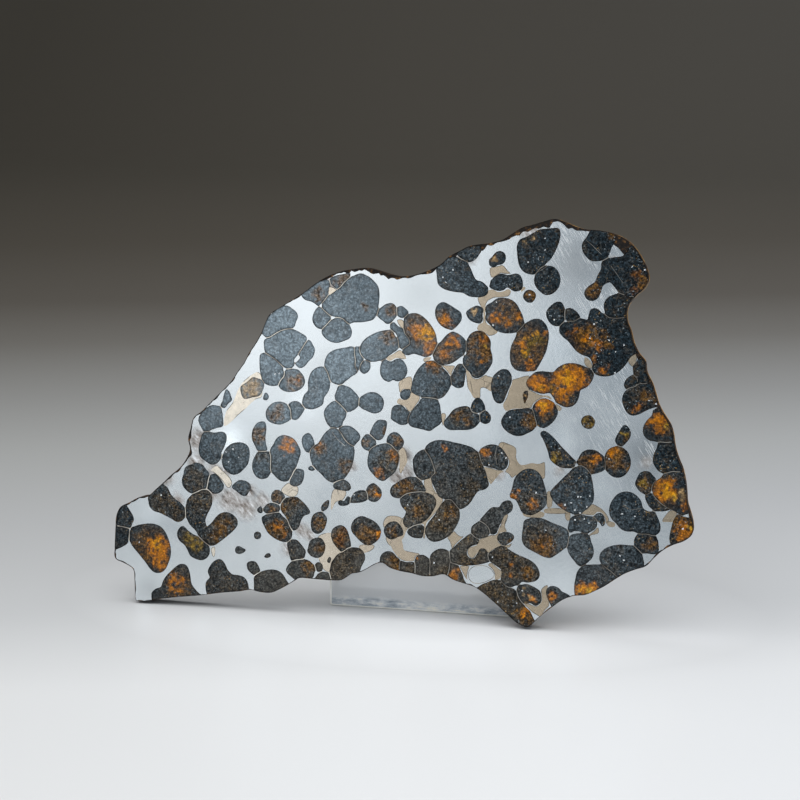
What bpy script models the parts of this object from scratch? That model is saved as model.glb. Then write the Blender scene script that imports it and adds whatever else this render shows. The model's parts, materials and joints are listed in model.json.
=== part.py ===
"""Pallasite meteorite slice leaning on a clear acrylic block. Metres, +Z up, the face looks along -Y."""
import math

import bpy
import bmesh
import numpy as np
from mathutils import Matrix, Vector
from mathutils.geometry import delaunay_2d_cdt

# Driving dimensions
SLICE_THICKNESS = 0.0030     # plate and crystals alike, both faces are cut flat
LEAN = math.radians(8.0)     # how far the slice leans back
CRYSTAL_GAP = 0.00010        # between a crystal and its pocket
WEB = 0.00022                # thinnest metal left between two pockets
RIM = 0.00042                # metal or crust left outside a crystal at the edge
CRYSTAL_STEP = 0.00115       # length of one straight piece of a crystal's outline
OUTLINE_STEP = 0.0019        # the same for the slice's outline
STAND_WIDTH = 0.0360
STAND_DEPTH = 0.0085
STAND_HEIGHT = 0.0200
STAND_LEFT = -0.0124         # left end of the block
STAND_CHAMFER = 0.0004
STAND_CLEAR = 0.00002        # air between the block's top front edge and the slice's back
FACE_FOOT = -0.00715         # y of the face's lower edge, which centres the whole part on its origin

# The photograph's viewpoint, which turns a place read in its pixels into a place on the slice's face
VIEW_FROM = Vector((0.06595, -0.30825, 0.1039))
VIEW_AZIMUTH = math.radians(12.1)
VIEW_ELEVATION = math.radians(12.0)
VIEW_FOCAL = 1900.0          # pixels
VIEW_CENTRE = 400.0

# Outlines read by eye from the photograph, clockwise, in its pixels
OUTLINE = (
    136, 604, 135, 595, 134.5, 585, 134, 574, 128, 568, 117, 563, 113, 557, 115, 550, 115, 540, 116, 522,
    117, 515, 119, 511, 124, 508.5, 134, 503, 144, 498, 149, 498.5, 155, 493, 164, 485, 170, 479, 178, 472.5,
    184, 466, 189, 456, 190, 450, 188, 443, 191, 430, 193.5, 421, 200, 416, 210, 406, 220, 396, 230, 386,
    236, 377, 244, 366, 249, 356, 257, 344, 264, 330, 267, 320, 280, 310.5, 294, 302, 306, 294, 318, 285,
    330, 278.5, 343, 274, 356, 271.5, 370, 270, 384, 274, 400, 278, 416, 277.5, 430, 273, 440, 268, 450, 259,
    458, 255, 470, 249, 480, 247, 495, 245, 507, 241, 516, 234, 527, 229, 540, 226.5, 551, 221.5, 563, 222.5,
    577, 228, 590, 231.5, 604, 232.5, 616, 235.5, 627, 240, 637, 248.5, 645, 260, 651, 274, 651, 286, 643, 296,
    634, 304, 630.5, 312, 630.5, 324, 635, 336, 638, 350, 640, 354, 648, 360, 648, 368, 651, 377, 656, 387,
    660, 400, 662, 407, 668, 418, 676, 432, 678, 447, 682, 461, 687, 474, 690, 490, 691, 505, 695, 519, 697, 534,
    692, 541, 680, 547, 669, 551, 657, 561, 648, 569.5, 636, 573, 622, 579.5, 610, 587.5, 597, 594, 582, 599,
    570, 600, 558, 608, 546, 617, 534, 627, 530, 630, 523, 630, 514, 624, 502, 613, 491, 603, 484, 597, 476, 591,
    465, 587, 454, 584, 447, 577.5, 434, 579.5, 420, 579, 408, 575.5, 394, 573, 378, 565.5, 370, 572, 362, 575,
    350, 578, 343, 583, 330, 583.5, 312, 582, 299, 581.5, 290, 588, 278, 593.5, 266, 596.5, 252, 593, 240, 594.5,
    220, 596, 200, 598.5, 180, 600, 160, 602, 150, 604)

CRYSTALS = {
    "olivine_west_amber": (
        131, 529, 135, 526, 143, 524, 152, 523.5, 160, 526, 166, 533, 170, 544, 171, 554, 168, 564, 164, 571,
        158, 573, 152, 571, 146, 563, 138, 553, 131, 544, 130, 536),
    "olivine_west_upper": (
        149, 500, 155, 494, 160, 488, 166, 485.5, 169, 491, 174, 498, 181, 503, 184, 507, 185, 516, 183, 520,
        177, 522, 170, 518, 160, 513, 152, 510, 149, 505),
    "olivine_west_hooked": (
        187, 500, 192, 495, 198, 492, 204, 489.5, 209, 491, 212, 497, 212, 505, 208, 513, 205.5, 520, 206, 526,
        210, 524.5, 215, 518, 220, 513.5, 226, 512, 232, 514, 237, 519, 238, 524, 234, 530, 228, 535.5,
        221, 541, 215, 545, 211, 546, 206, 543, 200, 537, 196, 531, 190, 525, 187, 519, 186, 510),
    "olivine_west_brown": (
        177, 535, 178, 530, 182, 525.5, 187, 529.5, 193, 534, 198, 537, 203, 541, 208, 545, 210, 550, 209, 555,
        205, 559.5, 199, 560, 192, 557, 188, 553, 187, 547, 183, 544, 179, 540),
    "olivine_foot_amber": (
        152, 599, 151.5, 593, 155, 589, 160, 588, 162, 583, 166, 576, 172, 570, 178, 565, 183, 563.5, 187, 566,
        190, 573, 191, 581, 193, 587, 197, 589.5, 201, 591.5, 203, 594, 199, 596, 182, 597, 166, 598),
    "olivine_foot_slate": (
        205.5, 588, 206, 582, 209, 580, 210, 578, 207.5, 573, 210, 566, 214, 561, 220, 559, 224, 562, 228, 570,
        232, 574, 238, 575, 244, 577, 248, 583, 249, 590, 247, 594, 238, 594, 228, 593, 215, 594.5, 210, 595,
        206.5, 592),
    "olivine_lower_edge": (
        254, 583, 254, 577, 259, 573, 266, 570, 273, 569.5, 279, 571, 283.5, 575, 286.5, 580, 289, 585,
        285, 589, 277, 592.5, 270, 594.5, 262, 594.5, 257, 592, 255, 588),
    "olivine_left_slate": (
        203, 433, 211, 432.5, 219, 432.5, 223, 431, 226, 434, 226.5, 441, 224, 447, 221, 453, 220, 460, 216, 464,
        212, 465, 207, 462, 202, 459, 199, 453, 198.5, 448, 200, 441),
    "olivine_left_mottled": (
        226, 449, 230, 444.5, 236, 442.5, 242, 442.5, 247, 445, 249.5, 450, 249.5, 457, 248, 464, 243, 470,
        238, 474, 234, 475, 229, 473, 225, 470, 222, 464, 223, 456),
    "olivine_crest_left": (
        265, 340, 272, 337, 280, 332, 288, 330, 295, 330, 301, 333, 307, 338, 303, 345, 298, 354, 295, 358,
        293.5, 362, 294, 366, 290, 368, 286, 368, 282, 365, 276, 359, 270, 355, 264, 351, 264, 346),
    "olivine_two_lobes": (
        312, 371, 316, 368, 322, 366, 326, 371, 329, 379, 330, 387, 327, 394, 324, 398, 324, 402, 321, 406,
        314, 409, 307, 409, 303, 404, 302.5, 400, 304, 395, 308, 390, 308, 382, 310, 374),
    "olivine_middle_left": (
        330, 429, 338, 429.5, 342, 436, 347, 443, 353, 446, 354.5, 451, 354, 458, 352, 466, 348, 474, 343, 479,
        335, 481, 330, 483, 326, 479, 318, 471, 312, 464, 310, 455, 311, 449, 315, 446, 320, 441, 323, 435),
    "olivine_rust_patch": (
        270, 450, 273, 445, 276, 439, 280, 436, 285, 435, 291, 437, 296, 441, 299, 447, 301, 453, 299, 459,
        297, 465, 293, 472, 289, 480, 285, 481.5, 279, 480, 274, 475, 271, 470, 271, 462, 271, 456),
    "olivine_crest_sparkling": (
        322, 306, 327, 298, 333, 292.5, 339, 289, 343, 284, 350, 278, 358, 275, 366, 275, 373, 280, 378, 286,
        379.5, 293, 379, 303, 377, 311, 374, 319, 367, 321.5, 359, 322.5, 354, 322.5, 350, 324, 345, 320,
        340, 317, 332, 316, 326, 311.5),
    "olivine_amber_centre": (
        404, 320, 408, 315, 413, 313, 419, 314, 426, 319, 431, 325, 435, 332, 437, 340, 436, 347, 433, 353,
        429, 356.5, 423, 357, 419, 355, 415, 353.5, 410, 355.5, 405, 354.5, 401, 351, 405, 348, 410, 344,
        411, 341, 408, 337, 404, 331, 404, 325),
    "olivine_slate_upper": (
        361, 344, 365, 339, 371, 335, 379, 331.5, 387, 330, 391, 331, 396, 338, 398, 344, 398, 349, 393, 353,
        387, 357, 381, 360, 373, 362, 367, 360, 363, 357, 360, 351, 360, 347),
    "olivine_slate_beside": (
        325, 360, 328, 354, 334, 350, 342, 348, 350, 347, 354, 347, 354, 353, 355, 361, 355, 368, 357, 373,
        351, 377, 346, 381, 341, 384, 335, 384, 331, 381, 328, 372, 324, 365),
    "olivine_round_middle": (
        412, 384, 414, 376, 418, 369, 423, 364, 430, 360, 436, 363, 443, 368, 448, 373, 450.5, 380, 450, 388,
        446, 394, 440, 399, 432, 398, 425, 397, 418, 396, 412, 392, 410.5, 388),
    "olivine_amber_mottled": (
        433, 356, 435, 349, 440, 342.5, 446, 335.5, 450, 332.5, 454, 332, 459, 334, 463, 337, 465.3, 341,
        465.5, 346, 465.8, 350, 463, 354.5, 459, 358.5, 455, 361.5, 449, 364.3, 442, 364.5, 436, 361.5),
    "olivine_tan_drop": (
        435, 312, 436, 307, 439, 303.5, 443, 302, 447, 303, 452, 306.5, 458, 310, 461.5, 313.5, 462, 318,
        460, 323, 456, 327, 452, 329.5, 447, 329, 442, 326.5, 438, 322, 435.5, 317),
    "olivine_shield": (
        410, 414, 414, 408, 419, 402, 421, 398.5, 429, 398, 438, 399.5, 440, 407, 441.5, 415, 441, 423, 436, 427,
        430, 431, 425, 430, 420, 429, 413, 427, 408, 424),
    "olivine_middle_dark": (
        371, 449, 376, 446, 381, 444, 387, 443, 391, 446, 395, 449.5, 398, 453, 399, 459, 398, 465, 396, 471,
        392, 475, 388, 478, 384, 481, 379, 480, 375, 476, 370, 471, 367.5, 464, 368, 456),
    "olivine_largest": (
        425, 449, 427, 445, 431, 442, 438, 440, 446, 440.5, 455, 442.5, 464, 444.5, 471, 447, 476, 450,
        479, 455, 480, 460, 482, 465, 485, 470, 487, 478, 489, 483, 488, 488, 483, 490, 477, 492, 474, 497,
        471, 502, 467, 506, 462, 509, 459, 508, 455, 503, 451, 498.5, 445, 499, 440, 498, 437, 493, 434, 487,
        431, 479, 433, 476, 436, 471, 433, 465, 431, 458, 427, 452),
    "olivine_beside_largest": (
        479.5, 450.5, 482, 448, 486, 445.5, 491, 444.3, 496, 444.8, 500, 447, 504, 451, 507, 456, 508.3, 461,
        507.5, 466, 504, 470, 500, 470.5, 496, 469, 492, 467.8, 488, 467, 485, 467, 482.5, 463, 481, 458),
    "olivine_upper_slate": (
        437, 278, 437, 272, 441, 269.5, 445, 266, 449, 262, 453, 259.5, 458, 258.5, 463, 260.5, 468, 263.5,
        471, 269, 473.5, 275, 476, 279.5, 481, 281, 486, 285, 488, 289, 488, 293, 485, 296, 479, 297.5,
        474, 297, 468, 296, 463, 293, 459, 292.5, 452, 291.5, 445, 289.5, 440, 286.5, 437, 282),
    "olivine_amber_round": (
        486, 306, 489, 305, 493, 301, 498, 298, 503, 297.5, 510, 299, 515, 302, 519, 308, 522, 314, 524, 321,
        523, 325, 520, 329, 516, 332, 510, 333.5, 504, 333, 499, 332, 495, 330, 491, 326, 488, 322.5, 486, 321,
        486, 313),
    "olivine_waisted": (
        467, 341, 468.5, 336.5, 472, 332.5, 477, 330.7, 482, 331, 486, 334, 489.5, 338, 491, 343, 491, 347.5,
        490, 351, 492, 354.5, 493, 359.5, 491.5, 364.5, 488.5, 369.5, 485, 374, 480, 377.5, 476, 378.7,
        472.5, 377, 470.5, 373.5, 467.5, 369.5, 464.5, 366, 463, 362, 463.3, 358, 466.5, 354, 468.5, 352.5,
        467, 348),
    "olivine_top_black": (
        517, 252, 516.5, 247, 518, 243, 521, 238.5, 526, 237, 531, 234, 537, 231, 543, 229, 550, 228.5,
        556, 227.5, 560, 229.5, 560.5, 236, 559, 243, 556, 250, 553, 256, 550, 260, 545, 264, 540, 267,
        537, 270.5, 535, 274, 530, 274.5, 524, 272, 520, 267.5, 518, 261),
    "olivine_under_top": (
        536, 274, 539, 271, 543, 268, 548, 265.5, 552, 266, 556, 268.5, 559, 273, 560.5, 279, 559.5, 286,
        556, 291, 551, 294.5, 545, 295, 541, 292.5, 537, 288.5, 534.5, 284, 534, 279),
    "olivine_olive_gold": (
        515, 338, 517, 333, 521, 328.5, 525, 324, 530, 320.5, 536, 318.5, 541, 319.5, 545, 323, 548, 329,
        549, 336, 548, 344, 546, 352, 542, 360, 538, 367, 534, 371, 528, 371.5, 521, 371.5, 516, 370,
        511.5, 365, 510, 359, 510, 352, 511.5, 345),
    "olivine_amber_pair": (
        526, 384, 528, 379, 531, 375.5, 536, 372.5, 542, 371, 547, 371.5, 551, 373.5, 555, 370, 560, 366,
        566, 363.5, 573, 363, 580, 364.5, 587, 367.5, 592, 370.5, 593.5, 374, 593, 379, 590, 384, 585, 388.5,
        580, 391, 579, 397, 577, 402, 573, 406, 567, 407.5, 561, 405.5, 556, 402, 553.5, 398, 551, 393,
        548, 394, 543, 394, 538, 393, 533, 391, 529, 388.5),
    "olivine_amber_egg": (
        533, 406, 535, 402.5, 539, 400, 545, 398, 550, 400, 554, 403.5, 557, 408, 558, 412, 556, 418, 552, 423,
        547, 427, 541, 428, 537, 425, 535, 419, 533.5, 412),
    "olivine_black_slab": (
        501, 422, 503, 416.5, 507, 411.5, 512, 409.5, 518, 409, 524, 408.5, 530, 408, 532.5, 409, 533.5, 414,
        535.5, 420, 536.5, 425, 534, 429.5, 529, 432.5, 523, 435.5, 517, 436, 511, 434.5, 506, 430.5, 502, 426.5),
    "olivine_wedge": (
        540, 433, 541, 431.5, 547, 431.5, 551, 435, 556, 440, 562, 447, 568, 453, 573, 458.5, 576.5, 463,
        574, 466, 570, 468.5, 566, 468, 561, 467.5, 556, 465.5, 553, 462, 550, 459.5, 548, 452, 545, 444,
        542, 437),
    "olivine_top_right": (
        582, 244, 584, 240, 588, 236, 592, 233.5, 598, 234, 604, 235, 610, 235.5, 614, 238, 615, 241, 612, 247,
        610, 252, 608, 257, 604, 259.5, 599, 261, 593, 261.5, 588, 258.5, 584, 254, 582, 249),
    "olivine_shoulder": (
        602, 262, 605, 260, 612, 257.5, 620, 256.5, 626, 254.5, 627, 248, 631, 247, 636, 252, 641, 259,
        646, 268, 648, 277, 647, 285, 641, 292, 634, 297, 628, 296, 620, 292.5, 616, 291, 614, 286, 611, 282.5,
        607, 283.5, 603, 286, 601.5, 290, 600, 295.5, 596, 300, 591, 301, 586, 298.5, 584, 293, 586, 289,
        590, 285, 594.5, 282.5, 596, 278, 599.5, 272, 601.5, 267),
    "olivine_right_black": (
        604, 303, 606, 299, 610, 296, 616, 294, 622, 294, 627, 297, 630, 301, 630, 306, 628.5, 311, 627, 315.5,
        622, 317, 614, 317.5, 608, 316, 605, 312, 604, 308),
    "olivine_right_great": (
        559, 331, 560, 327, 565, 322, 572, 322, 577, 320.5, 580, 318.5, 585, 318.5, 589, 320, 588.5, 313,
        591, 309, 595, 308, 600, 310, 603, 314, 608, 318, 614, 319, 622, 318.5, 627, 317.5, 628, 322, 630, 329,
        633, 337, 635, 346, 636, 352, 632, 356, 628, 360, 627, 363, 622, 369, 616, 373.5, 610, 376, 603, 376.5,
        597, 375, 593, 371, 592, 366, 592, 360, 588, 357, 580, 354, 574, 349, 570, 343, 564, 338, 560, 334),
    "olivine_right_brown": (
        622, 400, 623, 395, 626, 390, 632, 388, 637, 386, 640, 384, 647, 385.5, 652, 385, 656, 390, 658, 396,
        659, 402, 655, 407, 649, 409, 642, 413, 635, 415.5, 629, 415, 626, 411, 623, 405),
    "olivine_right_orange": (
        654, 409, 658, 409.5, 662, 412, 665, 417, 668, 421, 672, 427, 675, 434, 676, 440, 672, 441.5, 665, 442,
        659, 441.5, 655, 441.5, 649, 440.5, 645, 437, 643, 433, 643, 428, 645, 423, 648, 419, 652, 415),
    "olivine_smeared_top": (
        513, 484, 514, 479, 518, 474, 523, 470, 529, 468.5, 535, 470, 540, 474, 543, 480, 545, 487, 546.5, 493,
        547, 498, 547, 503, 545, 506.5, 541, 510.5, 535, 514, 528, 515, 523, 513.5, 520, 509, 518, 503.5,
        516, 500, 512, 499.5, 509.5, 496, 510.5, 491.5, 513, 488.5),
    "olivine_crackled": (
        550, 493, 552, 489, 557, 484, 562, 479, 567, 474, 571, 470.5, 575, 468, 580, 466, 584, 467, 587, 470,
        590, 474, 592, 478, 593, 485, 594, 492, 594, 499, 592, 504, 588, 508, 583, 512, 578, 514, 573, 513.5,
        567, 512, 561, 508, 556, 504, 552, 499),
    "olivine_right_round": (
        605, 456, 607, 451, 611, 447.5, 616, 446.5, 622, 447.5, 627, 451, 630, 457, 631, 463, 629.5, 469,
        626, 474, 621, 477.5, 615, 477.5, 610, 475, 606.5, 471.5, 606, 465),
    "olivine_brown_hexagon": (
        522, 541, 522, 534, 523, 527, 524, 521, 528, 518.5, 534, 518, 541, 517.5, 546, 520, 552, 522.5, 558, 525,
        563, 527, 567, 529, 568.5, 534, 568, 540, 566.5, 546, 563, 550, 558, 553, 554, 557, 549, 558, 544, 557,
        539, 554.5, 533, 551.5, 527, 548, 523, 544.5),
    "olivine_lower_slate": (
        570, 536.5, 575, 534, 582, 534, 588, 534.5, 590.5, 538, 591.5, 543, 593.5, 548, 594, 552, 592.5, 557.5,
        589.5, 561, 585, 563.5, 580, 566, 577, 564, 573, 559.5, 569, 554, 567.5, 549.5, 568.5, 543),
    "olivine_right_edge": (
        659, 442, 665, 443, 671, 442.5, 676, 441, 678, 447, 680, 454, 682, 461, 685, 468, 687, 475, 683, 475,
        678, 472.5, 672, 471, 666, 473, 661, 473, 656, 468, 653, 463, 653, 457, 655, 451, 658, 446),
    "olivine_right_amber": (
        659, 479, 662, 476, 667, 473, 673, 471.5, 679, 473.5, 684, 476.5, 687.5, 479, 689, 485, 690, 493,
        690, 500, 691, 506, 692.5, 512, 693.5, 517.5, 688, 517, 682, 515, 677, 513, 675, 509.5, 670, 509,
        665, 506, 660, 502, 656, 498, 653, 494, 652, 490, 653, 485, 656, 481),
    "olivine_right_twin": (
        609, 512, 610, 505, 613, 499, 617, 494.5, 622, 492, 628, 491.5, 634, 493.5, 639, 498, 642, 503,
        643.5, 509, 646, 511.5, 650, 511, 655, 513, 658, 518, 660, 524, 661, 529, 659, 533, 656, 535.5,
        651, 534.5, 645, 533.5, 638, 533.5, 633, 531.5, 628, 531.5, 623, 531, 619, 527, 615, 522.5, 611, 518),
    "olivine_lower_right_tip": (
        678, 515, 684, 517.5, 690, 519.5, 694, 520.5, 696, 527, 697, 534, 693, 540, 687, 543.5, 681, 546,
        675, 548.5, 671, 545.5, 669, 540, 670, 533, 672, 525, 674, 519),
    "olivine_lower_ellipse": (
        489, 554, 492, 551, 497, 547.5, 502, 545.7, 507, 548, 513, 552, 520, 555.5, 527, 558.5, 533, 562,
        537, 566.5, 539.5, 572, 539.5, 577, 537, 580.5, 531, 582, 525, 582, 519, 581.5, 517, 585, 512, 586.5,
        507, 586.5, 504, 583, 500.5, 579, 501, 575, 503, 571, 499, 568, 494, 564.5, 490, 561, 488, 557),
    "olivine_foot_tip": (
        467.5, 581, 472, 584.5, 479, 584.5, 486, 582.8, 493, 580, 499, 580, 503, 583.5, 507, 588, 512, 588.5,
        515.5, 590, 517, 595, 520, 600.5, 524, 605, 528, 609.5, 533, 614, 538, 617.5, 540, 620.5, 536, 624.5,
        531, 629, 525, 629.5, 520, 627, 514, 623, 507, 617, 501, 611.5, 494, 605.5, 487, 599.5, 480, 593.5,
        474, 589, 469, 587),
    "olivine_lower_amber": (
        575, 598, 574, 590, 574.5, 583, 576, 576, 577.5, 571, 580, 568, 583, 566.5, 588, 565, 594, 564.5,
        599, 564, 603, 566, 608, 569.5, 613, 573.5, 618, 577, 621, 579.5, 616, 583, 610, 587, 603, 589.5,
        597, 593.5, 590, 597, 582, 599),
    "olivine_lower_black": (
        599.5, 560, 600, 554, 603, 550, 608, 547, 614, 545.3, 620, 544.5, 627, 545, 633, 546, 637, 549,
        640, 552.5, 642.5, 555, 642.5, 560, 642, 566, 639, 568.5, 634, 571, 629, 574.5, 623, 578.5, 618, 575.5,
        612, 571.5, 606, 567, 601, 563.5),
    "olivine_bottom_brown": (
        343, 552, 347, 549, 352, 547.5, 358, 547.5, 362, 550, 365, 555, 365, 560, 361, 565, 357, 570, 353, 575,
        349, 580, 345, 583, 339, 583.5, 336, 582, 333, 578, 330, 573, 330, 568, 332, 563, 335, 557, 338, 554),
    "olivine_lower_dark": (
        400, 500, 405, 495, 412, 493, 420, 492.5, 427, 493, 433, 495, 436, 500, 436, 505, 433, 511, 429, 517,
        425, 521, 419, 523.5, 413, 525, 408, 528, 405, 525, 402, 520.5, 404, 517, 407, 513, 404, 510, 401, 505),
    "olivine_lower_middle": (
        443, 502, 450, 500.5, 454, 504, 459, 510, 460, 516, 458, 523, 454, 530, 449, 536, 442, 540, 435, 542,
        429, 540, 426, 535, 426, 527, 429, 522, 434, 516, 438, 509),
}
MATERIALS = {                # base colour, metallic, roughness, transmission
    "iron_nickel": ((0.62, 0.63, 0.64), 1.0, 0.28, 0.0),
    "olivine_amber": ((0.42, 0.20, 0.03), 0.0, 0.12, 0.4),
    "olivine_brown": ((0.16, 0.09, 0.04), 0.0, 0.12, 0.2),
    "olivine_slate": ((0.045, 0.06, 0.07), 0.0, 0.12, 0.0),
    "clear_acrylic": ((0.93, 0.96, 0.97), 0.0, 0.03, 1.0),
}
TONES = {"amber": "olivine_amber", "gold": "olivine_amber", "orange": "olivine_amber", "tan": "olivine_brown",
         "brown": "olivine_brown", "rust": "olivine_brown"}


def remove_everything():
    for thing in list(bpy.data.objects):
        bpy.data.objects.remove(thing, do_unlink=True)


def make_material(name, colour, metallic, roughness, transmission):
    material = bpy.data.materials.new(name)
    material.use_nodes = True
    shader = material.node_tree.nodes["Principled BSDF"]
    shader.inputs["Base Color"].default_value = (*colour, 1.0)
    shader.inputs["Metallic"].default_value = metallic
    shader.inputs["Roughness"].default_value = roughness
    shader.inputs["Transmission Weight"].default_value = transmission
    return material


def face_frame():
    """Where the slice's face stands: x along its width, y up the face and z out of it, towards the viewer."""
    turn = Matrix.Rotation(math.radians(90.0) - LEAN, 4, "X")
    return Matrix.Translation((0.0, FACE_FOOT, SLICE_THICKNESS * math.sin(LEAN))) @ turn


def on_face(pixels):
    """Turn a flat run of pixel coordinates into points on the slice's face, in its own x and y."""
    back = Vector((math.sin(VIEW_AZIMUTH) * math.cos(VIEW_ELEVATION),
                   -math.cos(VIEW_AZIMUTH) * math.cos(VIEW_ELEVATION), math.sin(VIEW_ELEVATION)))
    right = Vector((math.cos(VIEW_AZIMUTH), math.sin(VIEW_AZIMUTH), 0.0))
    above = back.cross(right)
    frame = face_frame()
    origin, normal = frame.to_translation(), frame.to_3x3() @ Vector((0.0, 0.0, 1.0))
    points = []
    for x, y in zip(pixels[0::2], pixels[1::2]):
        ray = right * (x - VIEW_CENTRE) / VIEW_FOCAL + above * (VIEW_CENTRE - y) / VIEW_FOCAL - back
        reach = (origin - VIEW_FROM).dot(normal) / ray.dot(normal)
        hit = frame.inverted() @ (VIEW_FROM + ray * reach)
        points.append((hit.x, hit.y))
    return np.array(points)


def smooth_ring(points, step, least=11):
    """A closed smooth curve through the points, as evenly spaced corners about one step apart."""
    before, after = np.roll(points, 1, axis=0), np.roll(points, -1, axis=0)
    beyond = np.roll(points, -2, axis=0)
    curve = []
    for t in np.arange(0.0, 1.0, 0.125):
        curve.append(0.5 * (2 * points + (after - before) * t
                            + (2 * before - 5 * points + 4 * after - beyond) * t ** 2
                            + (3 * points - before - 3 * after + beyond) * t ** 3))
    curve = np.stack(curve, axis=1).reshape(-1, 2)
    closed = np.vstack([curve, curve[:1]])
    along = np.concatenate([[0.0], np.cumsum(np.linalg.norm(np.diff(closed, axis=0), axis=1))])
    count = max(least, round(along[-1] / step))
    places = np.linspace(0.0, along[-1], count, endpoint=False)
    return np.stack([np.interp(places, along, closed[:, axis]) for axis in (0, 1)], axis=1)


def outward(ring):
    """The outward direction at each corner of a ring."""
    run = np.roll(ring, -1, axis=0) - np.roll(ring, 1, axis=0)
    run /= np.linalg.norm(run, axis=1)[:, None]
    area = np.sum(ring[:, 0] * np.roll(ring[:, 1], -1) - np.roll(ring[:, 0], -1) * ring[:, 1])
    sign = 1.0 if area > 0 else -1.0
    return np.stack([run[:, 1], -run[:, 0]], axis=1) * sign


def nearest(points, ring):
    """For each point: its distance from the ring, the nearest place on the ring, and if it is inside."""
    start, end = ring, np.roll(ring, -1, axis=0)
    edge = end - start
    offset = points[:, None, :] - start[None, :, :]
    share = np.clip(np.sum(offset * edge, axis=2) / np.sum(edge * edge, axis=1), 0.0, 1.0)
    foot = start + share[:, :, None] * edge
    gap = np.linalg.norm(points[:, None, :] - foot, axis=2)
    best = np.argmin(gap, axis=1)
    rows = np.arange(len(points))
    crosses = (start[None, :, 1] > points[:, None, 1]) != (end[None, :, 1] > points[:, None, 1])
    rise = np.where(edge[:, 1] == 0.0, 1e-12, edge[:, 1])
    where = start[:, 0] + (points[:, None, 1] - start[:, 1]) * edge[:, 0] / rise
    inside = np.sum(crosses & (points[:, None, 0] < where), axis=1) % 2 == 1
    return gap[rows, best], foot[rows, best], inside


def unlooped(ring):
    """The ring without the small loops that drawing it in can leave at its sharp corners."""
    ring = list(ring)
    start = 0
    while start < len(ring):
        for span in (4, 3, 2):
            count = len(ring)
            a, b, c, d = (ring[(start + k) % count] for k in (0, 1, span, span + 1))
            turns = [(q[0] - p[0]) * (r[1] - p[1]) - (q[1] - p[1]) * (r[0] - p[0])
                     for p, q, r in ((a, b, c), (a, b, d), (c, d, a), (c, d, b))]
            if turns[0] * turns[1] < 0.0 and turns[2] * turns[3] < 0.0:
                spare = {(start + k) % count for k in range(1, span + 1)}
                ring = [point for i, point in enumerate(ring) if i not in spare]
                start = -1
                break
        start += 1
    return np.array(ring)


def settle(pockets, outline):
    """Draw pockets apart where they are closer than the web, and in where they are closer to the edge."""
    names = list(pockets)
    for _ in range(60):
        moved = 0.0
        for name in names:
            ring = pockets[name]
            for other in names:
                if other == name or np.any(ring.max(0) + WEB < pockets[other].min(0)) \
                        or np.any(pockets[other].max(0) + WEB < ring.min(0)):
                    continue
                gap, foot, inside = nearest(ring, pockets[other])
                signed = np.where(inside, -gap, gap)
                short = np.maximum(0.0, WEB * 1.03 - signed)
                away = (ring - foot) / np.maximum(gap, 1e-9)[:, None] * np.where(inside, -1.0, 1.0)[:, None]
                ring = ring + away * (short * 0.5)[:, None]
                moved = max(moved, short.max())
            gap, foot, inside = nearest(ring, outline)
            signed = np.where(inside, gap, -gap)
            short = np.maximum(0.0, RIM * 1.02 - signed)
            inward = (ring - foot) / np.maximum(gap, 1e-9)[:, None] * np.where(inside, 1.0, -1.0)[:, None]
            ring = ring + inward * short[:, None]
            pockets[name] = ring
        if moved < WEB * 0.02:
            break
    return {name: unlooped(ring) for name, ring in pockets.items()}


def plate(name, rings, collection, material):
    """An even plate from closed rings on the slice's face, the first its outline and the rest holes."""
    corners, edges = [], []
    for ring in rings:
        first, count = len(corners), len(ring)
        corners += [Vector(point) * 1000.0 for point in ring.tolist()]
        edges += [(first + i, first + (i + 1) % count) for i in range(count)]
    flat, _, triangles = delaunay_2d_cdt(corners, edges, [], 1, 1e-6)[:3]
    if len(flat) != len(corners):
        raise ValueError(f"{name}: its outlines cross")
    middles = np.array([sum((flat[i] for i in triangle), Vector((0.0, 0.0))) / 3000.0 for triangle in triangles])
    covered = sum(nearest(middles, ring)[2].astype(int) for ring in rings)
    triangles = [triangle for triangle, rings_around in zip(triangles, covered) if rings_around == 1]
    form = bmesh.new()
    front = [form.verts.new((x / 1000.0, y / 1000.0, 0.0)) for x, y in flat]
    rear = [form.verts.new((x / 1000.0, y / 1000.0, -SLICE_THICKNESS)) for x, y in flat]
    for triangle in triangles:
        form.faces.new([front[i] for i in triangle])
        form.faces.new([rear[i] for i in reversed(triangle)])
    for i, j in edges:
        form.faces.new((front[i], rear[i], rear[j], front[j]))
    bmesh.ops.recalc_face_normals(form, faces=form.faces[:])
    mesh = bpy.data.meshes.new(name)
    form.to_mesh(mesh)
    form.free()
    mesh.materials.append(material)
    piece = bpy.data.objects.new(name, mesh)
    collection.objects.link(piece)
    piece.matrix_world = face_frame()
    return piece


def block(name, collection, material):
    """The acrylic block: its top front edge meets the back of the slice."""
    front = FACE_FOOT + SLICE_THICKNESS * math.cos(LEAN) + STAND_HEIGHT * math.tan(LEAN) + STAND_CLEAR
    mesh = bpy.data.meshes.new(name)
    form = bmesh.new()
    bmesh.ops.create_cube(form, size=1.0)
    bmesh.ops.scale(form, vec=(STAND_WIDTH, STAND_DEPTH, STAND_HEIGHT), verts=form.verts)
    bmesh.ops.translate(form, verts=form.verts, vec=(
        STAND_LEFT + STAND_WIDTH / 2, front + STAND_DEPTH / 2, STAND_HEIGHT / 2))
    bmesh.ops.bevel(form, geom=form.edges[:], offset=STAND_CHAMFER, segments=1, affect="EDGES")
    form.to_mesh(mesh)
    form.free()
    mesh.materials.append(material)
    piece = bpy.data.objects.new(name, mesh)
    collection.objects.link(piece)
    return piece


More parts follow.
